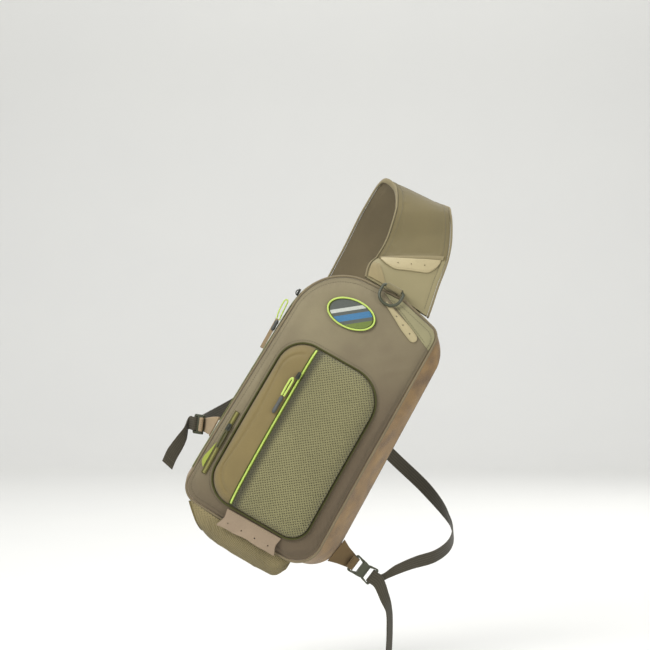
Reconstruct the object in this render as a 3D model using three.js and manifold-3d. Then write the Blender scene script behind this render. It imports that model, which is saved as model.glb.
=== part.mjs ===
// Sling tackle bag in the shape it takes across a chest: a tapered padded body, a moulded front pocket,
// a mesh sleeve under the base, a shaped shoulder strap and the webbing that closes the loop.
// Millimetres, +Z up. The origin is under the strap at its highest point, +X runs to the right as the
// front is seen and +Y from the front of the bag to the rear of the loop.
import * as THREE from 'three';
import { mergeVertices } from 'three/addons/utils/BufferGeometryUtils.js';
import Module from 'manifold-3d';

const wasm = await Module();
wasm.setup();

const DEG = Math.PI / 180;
const GAP = 0.4; // clearance between neighbouring pieces
const DRAPE_GAP = 0.9; // clearance under a piece laid on a curved wall
const CUT_REACH = 400; // half size of a block that cuts, past every piece
const OUTLINE_SAMPLES = 720; // places tried when a point is looked up on an outline

// How the bag hangs: the place of the bottom centre of its back, its lean and its turn
const BAG_ORIGIN = { x: -248, y: -125, z: -485 };
const BAG_TILT = 29 * DEG;
const BAG_YAW = -5 * DEG;

// Bag frame: x across, y from the front (negative) to the back (0), z along the bag.
// Outlines of the front and back as corners with radii, anticlockwise from the lower left
const FRONT_OUTLINE = [
  { x: -108, z: 2, r: 24 },
  { x: 103, z: -8, r: 36 },
  { x: 102, z: 380, r: 18 },
  { x: 34, z: 397, r: 60 },
  { x: -97, z: 392, r: 78 },
];
const BACK_OUTLINE = [
  { x: -122, z: -2, r: 32 },
  { x: 126, z: -10, r: 46 },
  { x: 123, z: 380, r: 56 },
  { x: 34, z: 396, r: 60 },
  { x: -105, z: 391, r: 84 },
];
const OUTLINE_STEPS = 52;

// Depth of the bag from the back to the front edge, along its length
const DEPTHS = [
  { z: -20, depth: 76 },
  { z: 60, depth: 88 },
  { z: 150, depth: 82 },
  { z: 240, depth: 66 },
  { z: 330, depth: 48 },
  { z: 410, depth: 35 },
];
const FRONT_CENTRE = { x: 0, z: 190 };
const FRONT_HALF = { x: 106, z: 204 };
const FRONT_CROWN = 10;
const EDGE_ROLL = 6; // how far the front rolls back at its rim
const EDGE_ROLL_START = 0.86;
const FRONT_WALL = 3;
const GUSSET_WALL = 2;
const GUSSET_BULGE = 3;
const BACK_WALL = 8;
const BACK_CROWN = 4;
const PANEL_RINGS = [1, 0.93, 0.75, 0.42];
const FRONT_SPLIT = 205; // the front panel is two solids that meet here, behind the pocket
const BACK_RINGS = [1, 0.7];
const GUSSET_STEPS = { bottom: 14, right: 20, zip: 26, across: 3 };

// Where the side walls change from one piece to the next, as points on the front outline
const SEAM_LOWER_LEFT = { x: -108, z: 36 };
const SEAM_LOWER_RIGHT = { x: 78, z: -7 };
const SEAM_UPPER_RIGHT = { x: 90, z: 383 };
// Share of the side wall's width that the zip and its bands take
const ZIP_BANDS = [
  { name: 'zip_band_front', from: 0, to: 0.4 },
  { name: 'main_zip', from: 0.425, to: 0.565 },
  { name: 'zip_band_back', from: 0.59, to: 1 },
];
const PIPING_RADIUS = 1.8;
const PIPING_SINK = 1; // how far the piping lies behind the rim

// The corner panel lies beyond a slanting seam across the front
const CORNER_SEAM = { x0: -1.4, z0: 398, x1: 88.6, z1: 358 };
const CORNER_TRIM = { from: 0.2, to: 0.93, width: 13, wall: 2, point: 0.35, round: 0.1, end: 0.22 };
const CORNER_TRIM_STEPS = { along: 12, across: 2 };
const CORNER_TRIM_HOLES = [0.36, 0.58, 0.8];
const TRIM_HOLE = { radius: 1.1, reach: 16, sides: 8 };

// Moulded front pocket
const POCKET_OUTLINE = [
  { x: -81, z: 22, r: 40 },
  { x: 77, z: 20, r: 28 },
  { x: 77, z: 276, r: 50 },
  { x: -79, z: 277, r: 38 },
];
const POCKET_CENTRE = { x: -2, z: 149 };
const POCKET_RISE = [
  { rho: 0, rise: 24 },
  { rho: 0.5, rise: 23.2 },
  { rho: 0.8, rise: 20.5 },
  { rho: 0.92, rise: 15.5 },
  { rho: 0.975, rise: 8.5 },
  { rho: 1, rise: 0 },
];
const POCKET_WALL = 2;
const POCKET_STEPS = 42;
const POCKET_ZIP = { x: -37, width: 5.6 };
const POCKET_PIPING_RADIUS = 1.5;

// Short zip on the front, left of the pocket
const SIDE_ZIP = { x: -93, z0: 42, z1: 143, width: 8, wall: 1.6 };
const SIDE_ZIP_STEPS = { across: 2, along: 8 };
const SIDE_SLIDER_Z = 118;
const SIDE_PULL = { x: -93, top: 111.5, cordEnd: 84, half: 2, cord: 1.2 };

// Oval badge
const BADGE = { x: -21, z: 345, halfLong: 37.5, halfShort: 22, turn: 6 * DEG, wall: 2, rim: 1.3 };
const BADGE_STEPS = 24;
const BADGE_RINGS = [1, 0.55];
const BADGE_RIM_SHARE = 0.95;

// Zip sliders, their pull cords and grips
const SLIDER = { long: 11, wide: 7, tall: 3, taper: 1, foot: 1.5, nose: 2.2, offset: 3 };
const SLIDER_SEGMENTS = 2; // steps in each round corner of a slider
const CORD_SIDES = 6;
const CORD_STEPS = 11;
const BEAD_SIDES = 5;
const GRIP_RADIUS = 3.1;
const GRIP_SIDES = 10;
// Half of a grip from its end to its waist: way along it in mm, share of the radius
const GRIP_PROFILE = [
  { along: 0, share: 0 },
  { along: 1, share: 0.7 },
  { along: 4, share: 1 },
];
const GRIP_WAIST = 0.85;
// Half of a doubled cord from the grip to its top: way up from the grip or down from the top, share of
// its half width
const PULL_LOOP = [
  { up: 0.4, share: 0.8 },
  { up: 9, share: 0.95 },
  { down: 9.5, share: 1 },
  { down: 2.5, share: 0.8 },
];
const POCKET_SLIDER_Z = 231;
const POCKET_PULL = { x: -45.5, top: 224, cordEnd: 195, gripEnd: 167, half: 2.2, cord: 1.5 };
const MAIN_SLIDER_Z = 326;
const MAIN_PULL = {
  x: -112, y: -35, top: 318, cordEnd: 286, gripEnd: 268, half: 2.9, cord: 1.1, lift: 2.5, rise: 14,
};
const MAIN_SLIDER_TURN = -80 * DEG;
const MAIN_ZIP_MIDDLE = 0.495;
const LEFT_EDGE_X = -98;

// Leather flap over the lower edge, with a row of holes
const BOTTOM_TRIM = { x0: -38, x1: 50, top: 15, bottom: -12, flare: 3, wall: 2 };
const BOTTOM_TRIM_HOLES = [0.12, 0.37, 0.62, 0.87];
const BOTTOM_TRIM_HOLE_ROW = 0.32;
const BOTTOM_TRIM_STEPS = { across: 6, down: 4 };

// Mesh sleeve under the base: how far it hangs, how deep it is and how high its front and rear edges
// are, from mouth to closed end
const SLEEVE = [
  { share: 0, drop: 34, half: 31, front: -2.8, rear: -4.9 },
  { share: 0.2, drop: 38, half: 32, front: -5.7, rear: -5.5 },
  { share: 0.5, drop: 40, half: 32, front: -7.8, rear: -7.2 },
  { share: 0.8, drop: 40, half: 30, front: -10, rear: -9.2 },
  { share: 0.93, drop: 37, half: 25, front: -9.6, rear: -10.1 },
  { share: 1, drop: 25, half: 15, front: -9.4, rear: -10 },
];
const SLEEVE_MOUTH = { top: -92, bottom: -62, rear: 10 }; // its rear edge stands back from its front one
const SLEEVE_END = 75;
const SLEEVE_Y = -43;
const SLEEVE_WALL = 1.5;
const HEM_RADIUS = 1.6;
const SLEEVE_SIDES = 10;
const SLEEVE_STEPS = 9;
const SLEEVE_ROUND = 0.7; // below 1 the section is fuller than a circle
const SLEEVE_END_START = 0.9;
const HEM_SIDES = 6;

const UPPER_TAB = { x0: -119.5, x1: -112.8, y: -11, z0: 238, z1: 287, wall: 2.6 };

// Hanging ring and the fold of webbing that keeps it
const RING = { x: 15, y: -40, z: 407, half: 16.5, drop: 26, wire: 2.2, lean: 13 * DEG };
const RING_CORNERS = { bar: 4, bow: 15 };
const RING_STEPS = 24;
const RING_SIDES = 6;
const FOLD_SEGMENTS = 8;
const KEEPER = { half: 12, wall: 1.6, clear: 0.8, back: -13.2 };

// Shoulder strap stations from the bag over the top and down the rear: centre, width, thickness and
// the direction of the width
const STRAP = [
  { x: -36, y: -133, z: -146.5, width: 104, thick: 8, ax: 0.836, ay: -0.087, az: -0.541 },
  { x: -25, y: -116, z: -114, width: 102, thick: 9, ax: 0.953, ay: 0, az: -0.303 },
  { x: -12, y: -96, z: -89, width: 102, thick: 10, ax: 1, ay: 0, az: 0 },
  { x: -1, y: -72, z: -61, width: 92, thick: 10, ax: 1, ay: 0, az: 0 },
  { x: 7, y: -38, z: -16, width: 77, thick: 10, ax: 0.99, ay: 0, az: -0.1 },
  { x: 4, y: 0, z: 5, width: 78, thick: 10, ax: 0.93, ay: 0, az: -0.36 },
  { x: -16, y: 38, z: 14, width: 78, thick: 10, ax: 0.86, ay: 0.05, az: -0.5 },
  { x: -47, y: 88, z: -28, width: 76, thick: 10, ax: 0.86, ay: 0.1, az: -0.5 },
  { x: -90, y: 126, z: -103, width: 68, thick: 10, ax: 0.86, ay: 0, az: -0.5 },
  { x: -146, y: 147, z: -184, width: 52, thick: 9, ax: 0.8, ay: 0.05, az: -0.6 },
  { x: -200, y: 148, z: -244, width: 38, thick: 7, ax: 0.74, ay: 0.1, az: -0.67 },
];
const STRAP_SUBSTEPS = 3;
const STRAP_SECTION = [-1, -0.86, 0, 0.86, 1];
const STRAP_EDGE_THIN = 0.3; // share of the thickness that each face loses at the edges
const BINDING = { width: 3.4, share: 0.42 };
const STRAP_TRIM = { station: 1.84, half: 0.87, tall: 0.76, wall: 2, steps: 12, stepsDown: 2 };
// Height of the trim from its left to its right end, as a share of its full height
const STRAP_TRIM_SHAPE = [
  { a: -1, share: 0.15 },
  { a: -0.73, share: 0.7 },
  { a: -0.39, share: 1 },
  { a: 0, share: 0.9 },
  { a: 0.49, share: 0.79 },
  { a: 0.73, share: 0.72 },
  { a: 0.93, share: 0.4 },
  { a: 1, share: 0.12 },
];
const STRAP_TRIM_HOLES = [-0.3, 0.08, 0.46];

// Webbing, its free ends and the fittings
const WEBBING = { width: 20, wall: 1.8 };
const WEBBING_SUBSTEPS = 3;
const LOCK = { wide: 29, slot: 22, slotLong: 6.5, bar: 4.2, wall: 3.6 };
const LEFT_SIDE = {
  x: -118.7, y: -21, z: 104.4, turn: 52 * DEG, pitch: 22 * DEG, lean: 0, wing: 33.1,
};
const LEFT_WING = { root: 32, tip: 20.5 };
const RIGHT_SIDE = {
  x: 123.9, y: -15.9, z: 33.5, turn: 14 * DEG, pitch: 8 * DEG, lean: 10 * DEG, wing: 29.7,
};
const RIGHT_WING = { root: 40, tip: 20 };
const WING_WALL = 2.2;
const WING_BEND = { along: 0.45, sink: 0.35, tail: 2, tailLift: 0.95 };
const WING_SUBSTEPS = 2;
const FOLD_CLEAR = 0.5;
const FOLD_STEPS = 8;
const TURN_LEAD = 9;
const TURN_SPREAD = 1.3;
const TURN_STEPS = 6;
const SLOT_RADIUS = 1;
const PLATE_SEGMENTS = { edge: 3, slot: 2 }; // steps in each round corner of a fitting
const LOCK_CORNERS = { near: 2, far: 4 };
const BUCKLE = { wide: 28.5, waist: 22.5, wall: 8, slot: 23, bar: 4 };
const FEMALE = { long: 23, slotLong: 10, slotEnd: 16, inset: 7.5 };
const MALE = { long: 17, slotLong: 9, slotEnd: 17 };
const BUCKLE_CORNERS = { near: 2, far: 3 };
const PRONG = { wide: 3.4, wall: 3.6, offset: 6.2, lead: 2.5 };
const CAVITY = { half: 8.6, mouth: 5 };
const WINDOW = { inset: 1.5, end: 2.5, deeper: 1 };
const MAIN_WEBBING_REAR = [
  { x: -182, y: 142, z: -225, ax: 0.76, ay: 0.08, az: -0.65 },
  { x: -206, y: 142, z: -251, ax: 0.74, ay: 0.1, az: -0.67 },
  { x: -235, y: 137, z: -279, ax: 0.68, ay: 0.15, az: -0.72 },
  { x: -276, y: 116, z: -307, ax: 0.5, ay: 0.2, az: -0.84 },
  { x: -318, y: 66, z: -330, ax: 0.3, ay: 0.1, az: -0.95 },
  { x: -339, y: 6, z: -340, ax: 0.3, ay: 0.1, az: -0.95 },
];
const MAIN_TAIL = [
  { x: -348, y: -93, z: -348, ax: 0.15, ay: 0, az: -0.99 },
  { x: -356, y: -98, z: -361, ax: 0.45, ay: 0, az: -0.89 },
  { x: -367, y: -104, z: -378, ax: 0.7, ay: 0, az: -0.71 },
  { x: -374, y: -106, z: -394, ax: 0.74, ay: 0, az: -0.67 },
];
const STABILISER_TAIL = [
  { x: -48.5, y: -137, z: -679, ax: 0.44, ay: 0.9, az: 0 },
  { x: -46.5, y: -137, z: -635, ax: 0.44, ay: 0.9, az: 0 },
  { x: -47.5, y: -139, z: -604, ax: 0.44, ay: 0.88, az: 0.15 },
  { x: -54, y: -142, z: -584, ax: 0.55, ay: 0.55, az: 0.62 },
];
const STABILISER_REAR = [
  { x: -42, y: -131, z: -548, ax: 0.4, ay: 0, az: 0.92 },
  { x: -12, y: -119, z: -537, ax: 0.28, ay: 0.05, az: 0.96 },
  { x: 22, y: -95, z: -529, ax: 0.15, ay: 0.1, az: 0.98 },
  { x: 48, y: -45, z: -513, ax: 0, ay: 0.1, az: 0.99 },
  { x: 50, y: 35, z: -486, ax: -0.15, ay: 0.2, az: 0.96 },
  { x: 18, y: 105, z: -444, ax: 0.5, ay: -0.1, az: 0.8 },
  { x: -42, y: 145, z: -387, ax: 0.69, ay: 0, az: 0.67 },
  { x: -106, y: 158, z: -317, ax: 0.77, ay: 0, az: 0.64 },
  { x: -148, y: 156, z: -259, ax: 0.83, ay: 0, az: 0.55 },
  { x: -168, y: 154.6, z: -224, ax: 0.87, ay: 0, az: 0.5 },
];

const COLOURS = {
  front: 0x8f8270,
  corner: 0x8c8062,
  gusset: 0x806a50,
  back: 0x5d584c,
  zip: 0x9db04c,
  lime: 0xc9ea6a,
  strip: 0x85764f,
  mesh: 0x87815f,
  piping: 0x5e5a34,
  edge: 0x9c8a66,
  cream: 0xc9ba8c,
  pink: 0xaf9882,
  tan: 0xb89f7c,
  strap: 0x857a5e,
  binding: 0x6d634c,
  webbing: 0x544d3e,
  plastic: 0x3f4233,
  dark: 0x3a3d3c,
  badge: 0x6b7a78,
};

// Value of a column of a table at a place between its rows, on a smooth curve
function lookup(table, key, column, at) {
  const last = table.length - 1;
  const place = THREE.MathUtils.clamp(at, table[0][key], table[last][key]);
  const i = Math.max(0, Math.min(last - 1, table.findIndex((row) => row[key] >= place) - 1));
  const slope = (k) => {
    const before = table[Math.max(k - 1, 0)];
    const after = table[Math.min(k + 1, last)];
    return (after[column] - before[column]) / (after[key] - before[key]);
  };
  const span = table[i + 1][key] - table[i][key];
  const t = (place - table[i][key]) / span;
  const rise = t * t * (3 - 2 * t);
  const bend = t * (1 - t) * ((1 - t) * slope(i) - t * slope(i + 1)) * span;
  return THREE.MathUtils.lerp(table[i][column], table[i + 1][column], rise) + bend;
}

// Closed path with round corners
function roundedPath(corners) {
  const path = new THREE.Shape();
  corners.forEach((corner, index) => {
    const before = corners.at(index - 1);
    const after = corners[(index + 1) % corners.length];
    const point = new THREE.Vector2(corner.x, corner.z);
    const back = new THREE.Vector2(before.x, before.z).sub(point).normalize();
    const on = new THREE.Vector2(after.x, after.z).sub(point).normalize();
    const half = Math.acos(THREE.MathUtils.clamp(back.dot(on), -1, 1)) / 2;
    const start = point.clone().addScaledVector(back, corner.r / Math.tan(half));
    const end = point.clone().addScaledVector(on, corner.r / Math.tan(half));
    const middle = back.clone().add(on).normalize();
    const centre = point.clone().addScaledVector(middle, corner.r / Math.sin(half));
    if (index === 0) {
      path.moveTo(start.x, start.y);
    } else {
      path.lineTo(start.x, start.y);
    }
    const startAngle = start.clone().sub(centre).angle();
    const endAngle = end.clone().sub(centre).angle();
    path.absarc(centre.x, centre.y, corner.r, startAngle, endAngle, false);
  });
  path.closePath();
  return path;
}

// Geometry of a closed solid, turned so that its faces point out
function closedGeometry(points, triangles) {
  let volume = 0;
  for (const [a, b, c] of triangles) {
    volume += points[a].dot(points[b].clone().cross(points[c]));
  }
  const faces = triangles.map(([a, b, c]) => (volume < 0 ? [a, c, b] : [a, b, c]));
  const geometry = new THREE.BufferGeometry();
  geometry.setFromPoints(points);
  geometry.setIndex(faces.flat());
  return geometry;
}

// Wall between two surfaces given over a rectangle
function wall(stepsU, stepsV, outer, inner) {
  const rows = stepsV + 1;
  const points = [];
  const triangles = [];
  for (const surface of [outer, inner]) {
    for (let i = 0; i <= stepsU; i += 1) {
      for (let j = 0; j <= stepsV; j += 1) {
        points.push(surface(i / stepsU, j / stepsV));
      }
    }
  }
  const at = (side, i, j) => (side * (stepsU + 1) + i) * rows + j;
  const quad = (a, b, c, d) => triangles.push([a, b, c], [a, c, d]);
  for (let i = 0; i < stepsU; i += 1) {
    for (let j = 0; j < stepsV; j += 1) {
      quad(at(0, i, j), at(0, i + 1, j), at(0, i + 1, j + 1), at(0, i, j + 1));
      quad(at(1, i, j), at(1, i, j + 1), at(1, i + 1, j + 1), at(1, i + 1, j));
    }
    quad(at(0, i, 0), at(1, i, 0), at(1, i + 1, 0), at(0, i + 1, 0));
    quad(at(0, i, stepsV), at(0, i + 1, stepsV), at(1, i + 1, stepsV), at(1, i, stepsV));
  }
  for (let j = 0; j < stepsV; j += 1) {
    quad(at(0, 0, j), at(0, 0, j + 1), at(1, 0, j + 1), at(1, 0, j));
    quad(at(0, stepsU, j), at(1, stepsU, j), at(1, stepsU, j + 1), at(0, stepsU, j + 1));
  }
  return closedGeometry(points, triangles);
}

// Wall between two surfaces given over rings that shrink to a centre
function disc(rings, steps, outer, inner) {
  const size = rings.length * steps + 1;
  const last = rings.length - 1;
  const points = [];
  const triangles = [];
  for (const surface of [outer, inner]) {
    for (const rho of rings) {
      for (let k = 0; k < steps; k += 1) {
        points.push(surface(rho, k / steps));
      }
    }
    points.push(surface(0, 0));
  }
  const at = (side, ring, k) => side * size + ring * steps + (k % steps);
  const centre = (side) => side * size + size - 1;
  const quad = (a, b, c, d) => triangles.push([a, b, c], [a, c, d]);
  for (let k = 0; k < steps; k += 1) {
    for (let ring = 0; ring < last; ring += 1) {
      quad(at(0, ring, k), at(0, ring, k + 1), at(0, ring + 1, k + 1), at(0, ring + 1, k));
      quad(at(1, ring, k), at(1, ring + 1, k), at(1, ring + 1, k + 1), at(1, ring, k + 1));
    }
    triangles.push([at(0, last, k), at(0, last, k + 1), centre(0)]);
    triangles.push([at(1, last, k), centre(1), at(1, last, k + 1)]);
    quad(at(0, 0, k), at(1, 0, k), at(1, 0, k + 1), at(0, 0, k + 1));
  }
  return closedGeometry(points, triangles);
}

// Frames along a table of stations: centre, direction of the width and outward direction
function stationFrames(stations, substeps) {
  const centres = stations.map((row) => new THREE.Vector3(row.x, row.y, row.z));
  const curve = new THREE.CatmullRomCurve3(centres, false, 'centripetal');
  const count = (stations.length - 1) * substeps;
  return Array.from({ length: count + 1 }, (_, step) => frameAt(curve, stations, step / substeps));
}

// Frame at a place between two stations of a table
function frameAt(curve, stations, place) {
  const last = stations.length - 1;
  const i = Math.min(Math.floor(place), last - 1);
  const mix = (column) => THREE.MathUtils.lerp(stations[i][column], stations[i + 1][column], place - i);
  const tangent = curve.getTangent(place / last);
  const across = new THREE.Vector3(mix('ax'), mix('ay'), mix('az')).normalize();
  const out = across.clone().cross(tangent).normalize();
  return { centre: curve.getPoint(place / last), across, out, width: mix('width'), thick: mix('thick') };
}

// Solid swept along frames, with a section that may change from frame to frame
function sweep(frames, section, closed = false) {
  const points = [];
  const triangles = [];
  for (const frame of frames) {
    for (const [a, b] of section(frame)) {
      points.push(frame.centre.clone().addScaledVector(frame.across, a).addScaledVector(frame.out, b));
    }
  }
  const sides = points.length / frames.length;
  const at = (ring, k) => (ring % frames.length) * sides + (k % sides);
  const spans = closed ? frames.length : frames.length - 1;
  for (let ring = 0; ring < spans; ring += 1) {
    for (let k = 0; k < sides; k += 1) {
      triangles.push([at(ring, k), at(ring, k + 1), at(ring + 1, k + 1)]);
      triangles.push([at(ring, k), at(ring + 1, k + 1), at(ring + 1, k)]);
    }
  }
  for (let k = 1; k < sides - 1 && !closed; k += 1) {
    triangles.push([at(0, 0), at(0, k + 1), at(0, k)]);
    triangles.push([at(frames.length - 1, 0), at(frames.length - 1, k), at(frames.length - 1, k + 1)]);
  }
  return closedGeometry(points, triangles);
}

// Round section for a sweep
function roundSection(radius, sides) {
  return () => Array.from({ length: sides }, (_, k) => {
    const angle = (2 * Math.PI * k) / sides;
    return [radius * Math.cos(angle), radius * Math.sin(angle)];
  });
}

// Flat section for webbing and wings
function flatSection(frame) {
  const a = frame.width / 2;
  const b = frame.thick / 2;
  return [[-a, -b], [a, -b], [a, b], [-a, b]];
}

// Closed round bead along a loop of points that faces the front
function bead(points, radius, sides) {
  const front = new THREE.Vector3(0, -1, 0);
  const frames = points.map((centre, k) => {
    const tangent = points[(k + 1) % points.length].clone().sub(points.at(k - 1)).normalize();
    const out = front.clone().addScaledVector(tangent, -front.dot(tangent)).normalize();
    return { centre, out, across: tangent.clone().cross(out) };
  });
  return sweep(frames, roundSection(radius, sides), true);
}

// Cuts and joins
function solid(geometry) {
  const bare = geometry.clone();
  bare.deleteAttribute('normal');
  bare.deleteAttribute('uv');
  const merged = mergeVertices(bare, 1e-3);
  return new wasm.Manifold(new wasm.Mesh({
    numProp: 3,
    vertProperties: merged.attributes.position.array,
    triVerts: new Uint32Array(merged.index.array),
  }));
}

function geometryOf(body) {
  const mesh = body.getMesh();
  const geometry = new THREE.BufferGeometry();
  geometry.setAttribute('position', new THREE.BufferAttribute(mesh.vertProperties, mesh.numProp));
  geometry.setIndex(new THREE.BufferAttribute(mesh.triVerts, 1));
  return geometry;
}

function block(x0, x1, y0, y1, z0, z1) {
  const geometry = new THREE.BoxGeometry(x1 - x0, y1 - y0, z1 - z0);
  geometry.translate((x0 + x1) / 2, (y0 + y1) / 2, (z0 + z1) / 2);
  return geometry;
}

// Round holes through a wall, each along the wall's own outward direction
function drilled(geometry, holes) {
  const { radius } = TRIM_HOLE;
  return geometryOf(holes.reduce((body, { at, along }) => {
    const drill = new THREE.CylinderGeometry(radius, radius, TRIM_HOLE.reach, TRIM_HOLE.sides);
    drill.applyQuaternion(new THREE.Quaternion().setFromUnitVectors(new THREE.Vector3(0, 1, 0), along));
    drill.translate(at.x, at.y, at.z);
    return body.subtract(solid(drill));
  }, solid(geometry)));
}

const part = new THREE.Group();
const bagTilt = new THREE.Group();
const bag = new THREE.Group();
bagTilt.position.set(BAG_ORIGIN.x, BAG_ORIGIN.y, BAG_ORIGIN.z);
bagTilt.rotation.y = BAG_TILT;
bag.rotation.z = BAG_YAW;
bagTilt.add(bag);
part.add(bagTilt);
part.updateMatrixWorld(true);

function addPiece(parent, name, geometry, color, roughness = 0.85, metalness = 0) {
  const mesh = new THREE.Mesh(geometry, new THREE.MeshStandardMaterial({ color, roughness, metalness }));
  mesh.name = name;
  parent.add(mesh);
  return mesh;
}

// Front surface of the bag without the rolled rim
function frontY(x, z) {
  const shareX = Math.max(0, 1 - ((x - FRONT_CENTRE.x) / FRONT_HALF.x) ** 2);
  const shareZ = Math.max(0, 1 - ((z - FRONT_CENTRE.z) / FRONT_HALF.z) ** 2);
  return -(lookup(DEPTHS, 'z', 'depth', z) + FRONT_CROWN * shareX * shareZ);
}

const frontPath = roundedPath(FRONT_OUTLINE);
const backPath = roundedPath(BACK_OUTLINE);

// Point of an outline, drawn in towards a centre
function drawnIn(path, centre, rho, share) {
  const rim = path.getPoint(share);
  return {
    x: centre.x + (rim.x - centre.x) * rho,
    z: centre.z + (rim.y - centre.z) * rho,
  };
}

function frontPoint(rho, share, sink) {
  const { x, z } = drawnIn(frontPath, FRONT_CENTRE, rho, share);
  const roll = Math.max(0, (rho - EDGE_ROLL_START) / (1 - EDGE_ROLL_START));
  return new THREE.Vector3(x, frontY(x, z) + EDGE_ROLL * roll * roll + sink, z);
}

// Front of the bag, split along the slanting seam
const frontShell = solid(disc(
  PANEL_RINGS,
  OUTLINE_STEPS,
  (rho, share) => frontPoint(rho, share, 0),
  (rho, share) => frontPoint(rho, share, FRONT_WALL),
));
const seamStart = new THREE.Vector2(CORNER_SEAM.x0, CORNER_SEAM.z0);
const seamEnd = new THREE.Vector2(CORNER_SEAM.x1, CORNER_SEAM.z1);
const seamAngle = seamEnd.clone().sub(seamStart).angle();

function beyondSeam(offset) {
  const cutter = block(-CUT_REACH, CUT_REACH, -CUT_REACH, CUT_REACH, offset, CUT_REACH);
  cutter.rotateY(-seamAngle);
  cutter.translate(seamStart.x, 0, seamStart.y);
  return solid(cutter);
}

const frontBody = frontShell.subtract(beyondSeam(-GAP / 2));
for (const [name, from, to] of [
  ['front_panel_lower', -CUT_REACH, FRONT_SPLIT - GAP / 2],
  ['front_panel_upper', FRONT_SPLIT + GAP / 2, CUT_REACH],
]) {
  const half = solid(block(-CUT_REACH, CUT_REACH, -CUT_REACH, CUT_REACH, from, to));
  addPiece(bag, name, geometryOf(frontBody.intersect(half)), COLOURS.front);
}
addPiece(bag, 'corner_panel', geometryOf(frontShell.intersect(beyondSeam(GAP / 2))), COLOURS.corner);

addPiece(bag, 'back_panel', disc(
  BACK_RINGS,
  OUTLINE_STEPS,
  (rho, share) => {
    const { x, z } = drawnIn(backPath, FRONT_CENTRE, rho, share);
    return new THREE.Vector3(x, BACK_CROWN * (1 - rho ** 4), z);
  },
  (rho, share) => {
    const { x, z } = drawnIn(backPath, FRONT_CENTRE, rho, share);
    return new THREE.Vector3(x, -BACK_WALL, z);
  },
), COLOURS.back);

// Share of the front outline's length nearest to a point
function shareNear(point) {
  const samples = frontPath.getSpacedPoints(OUTLINE_SAMPLES);
  const target = new THREE.Vector2(point.x, point.z);
  const distances = samples.map((sample) => sample.distanceTo(target));
  return distances.indexOf(Math.min(...distances)) / OUTLINE_SAMPLES;
}

// Side wall between the rims of the front and the back
function gussetPoint(share, depth, sink) {
  const turn = THREE.MathUtils.euclideanModulo(share, 1);
  const front = frontPoint(1, turn, FRONT_WALL + GAP);
  const rear = backPath.getPoint(turn);
  const tangent = frontPath.getTangent(turn);
  const bulge = GUSSET_BULGE * Math.sin(Math.PI * depth) - sink;
  return new THREE.Vector3(
    THREE.MathUtils.lerp(front.x, rear.x, depth) + tangent.y * bulge,
    THREE.MathUtils.lerp(front.y, -BACK_WALL - GAP, depth),
    THREE.MathUtils.lerp(front.z, rear.y, depth) - tangent.x * bulge,
  );
}

function gusset(from, to, steps, bottom, top, stepsAcross) {
  const place = (u, v, sink) => gussetPoint(
    THREE.MathUtils.lerp(from, to, u),
    THREE.MathUtils.lerp(bottom, top, v),
    sink,
  );
  return wall(steps, stepsAcross, (u, v) => place(u, v, 0), (u, v) => place(u, v, GUSSET_WALL));
}

const seamGap = GAP / frontPath.getLength();
const lowerLeft = shareNear(SEAM_LOWER_LEFT);
const lowerRight = shareNear(SEAM_LOWER_RIGHT);
const upperRight = shareNear(SEAM_UPPER_RIGHT);
const lowerLeftTurn = lowerLeft > lowerRight ? lowerLeft : lowerLeft + 1;
const { bottom: bottomSteps, right: rightSteps, zip: zipSteps, across: acrossSteps } = GUSSET_STEPS;
const bottomGusset = gusset(lowerLeftTurn - 1, lowerRight, bottomSteps, 0, 1, acrossSteps);
addPiece(bag, 'bottom_gusset', bottomGusset, COLOURS.gusset);
const rightGusset = gusset(lowerRight + seamGap, upperRight, rightSteps, 0, 1, acrossSteps);
addPiece(bag, 'right_gusset', rightGusset, COLOURS.gusset);
for (const band of ZIP_BANDS) {
  const colour = band.name === 'main_zip' ? COLOURS.zip : COLOURS.front;
  const body = gusset(upperRight + seamGap, lowerLeftTurn - seamGap, zipSteps, band.from, band.to, 1);
  addPiece(bag, band.name, body, colour);
}

// Piped seam round the front, just outside its rim
const pipingPoints = Array.from({ length: OUTLINE_STEPS }, (_, k) => {
  const share = k / OUTLINE_STEPS;
  const tangent = frontPath.getTangent(share);
  const offset = PIPING_RADIUS + GAP + GAP;
  const rim = frontPoint(1, share, PIPING_SINK);
  return new THREE.Vector3(rim.x + tangent.y * offset, rim.y, rim.z - tangent.x * offset);
});
addPiece(bag, 'front_piping', bead(pipingPoints, PIPING_RADIUS, BEAD_SIDES), COLOURS.edge);

// Leather strip along the corner seam, round at its lower end
function cornerTrimPoint(u, v, lift) {
  const along = THREE.MathUtils.lerp(CORNER_TRIM.from, CORNER_TRIM.to, u);
  const { width, point, round, end } = CORNER_TRIM;
  const roundness = Math.max(0, (u - 1 + round) / round);
  const taper = Math.max(end, Math.sqrt(1 - roundness ** 2)) * Math.min(1, point + u);
  const across = -width * (0.5 + (v - 0.5) * taper);
  const place = seamStart.clone().lerp(seamEnd, along);
  const x = place.x - Math.sin(seamAngle) * across;
  const z = place.y + Math.cos(seamAngle) * across;
  return new THREE.Vector3(x, frontY(x, z) - DRAPE_GAP - lift, z);
}
addPiece(bag, 'corner_trim', drilled(
  wall(
    CORNER_TRIM_STEPS.along,
    CORNER_TRIM_STEPS.across,
    (u, v) => cornerTrimPoint(u, v, CORNER_TRIM.wall),
    (u, v) => cornerTrimPoint(u, v, 0),
  ),
  CORNER_TRIM_HOLES.map((u) => ({
    at: cornerTrimPoint(u, 0.5, CORNER_TRIM.wall / 2),
    along: new THREE.Vector3(0, 1, 0),
  })),
), COLOURS.cream, 0.7);

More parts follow.
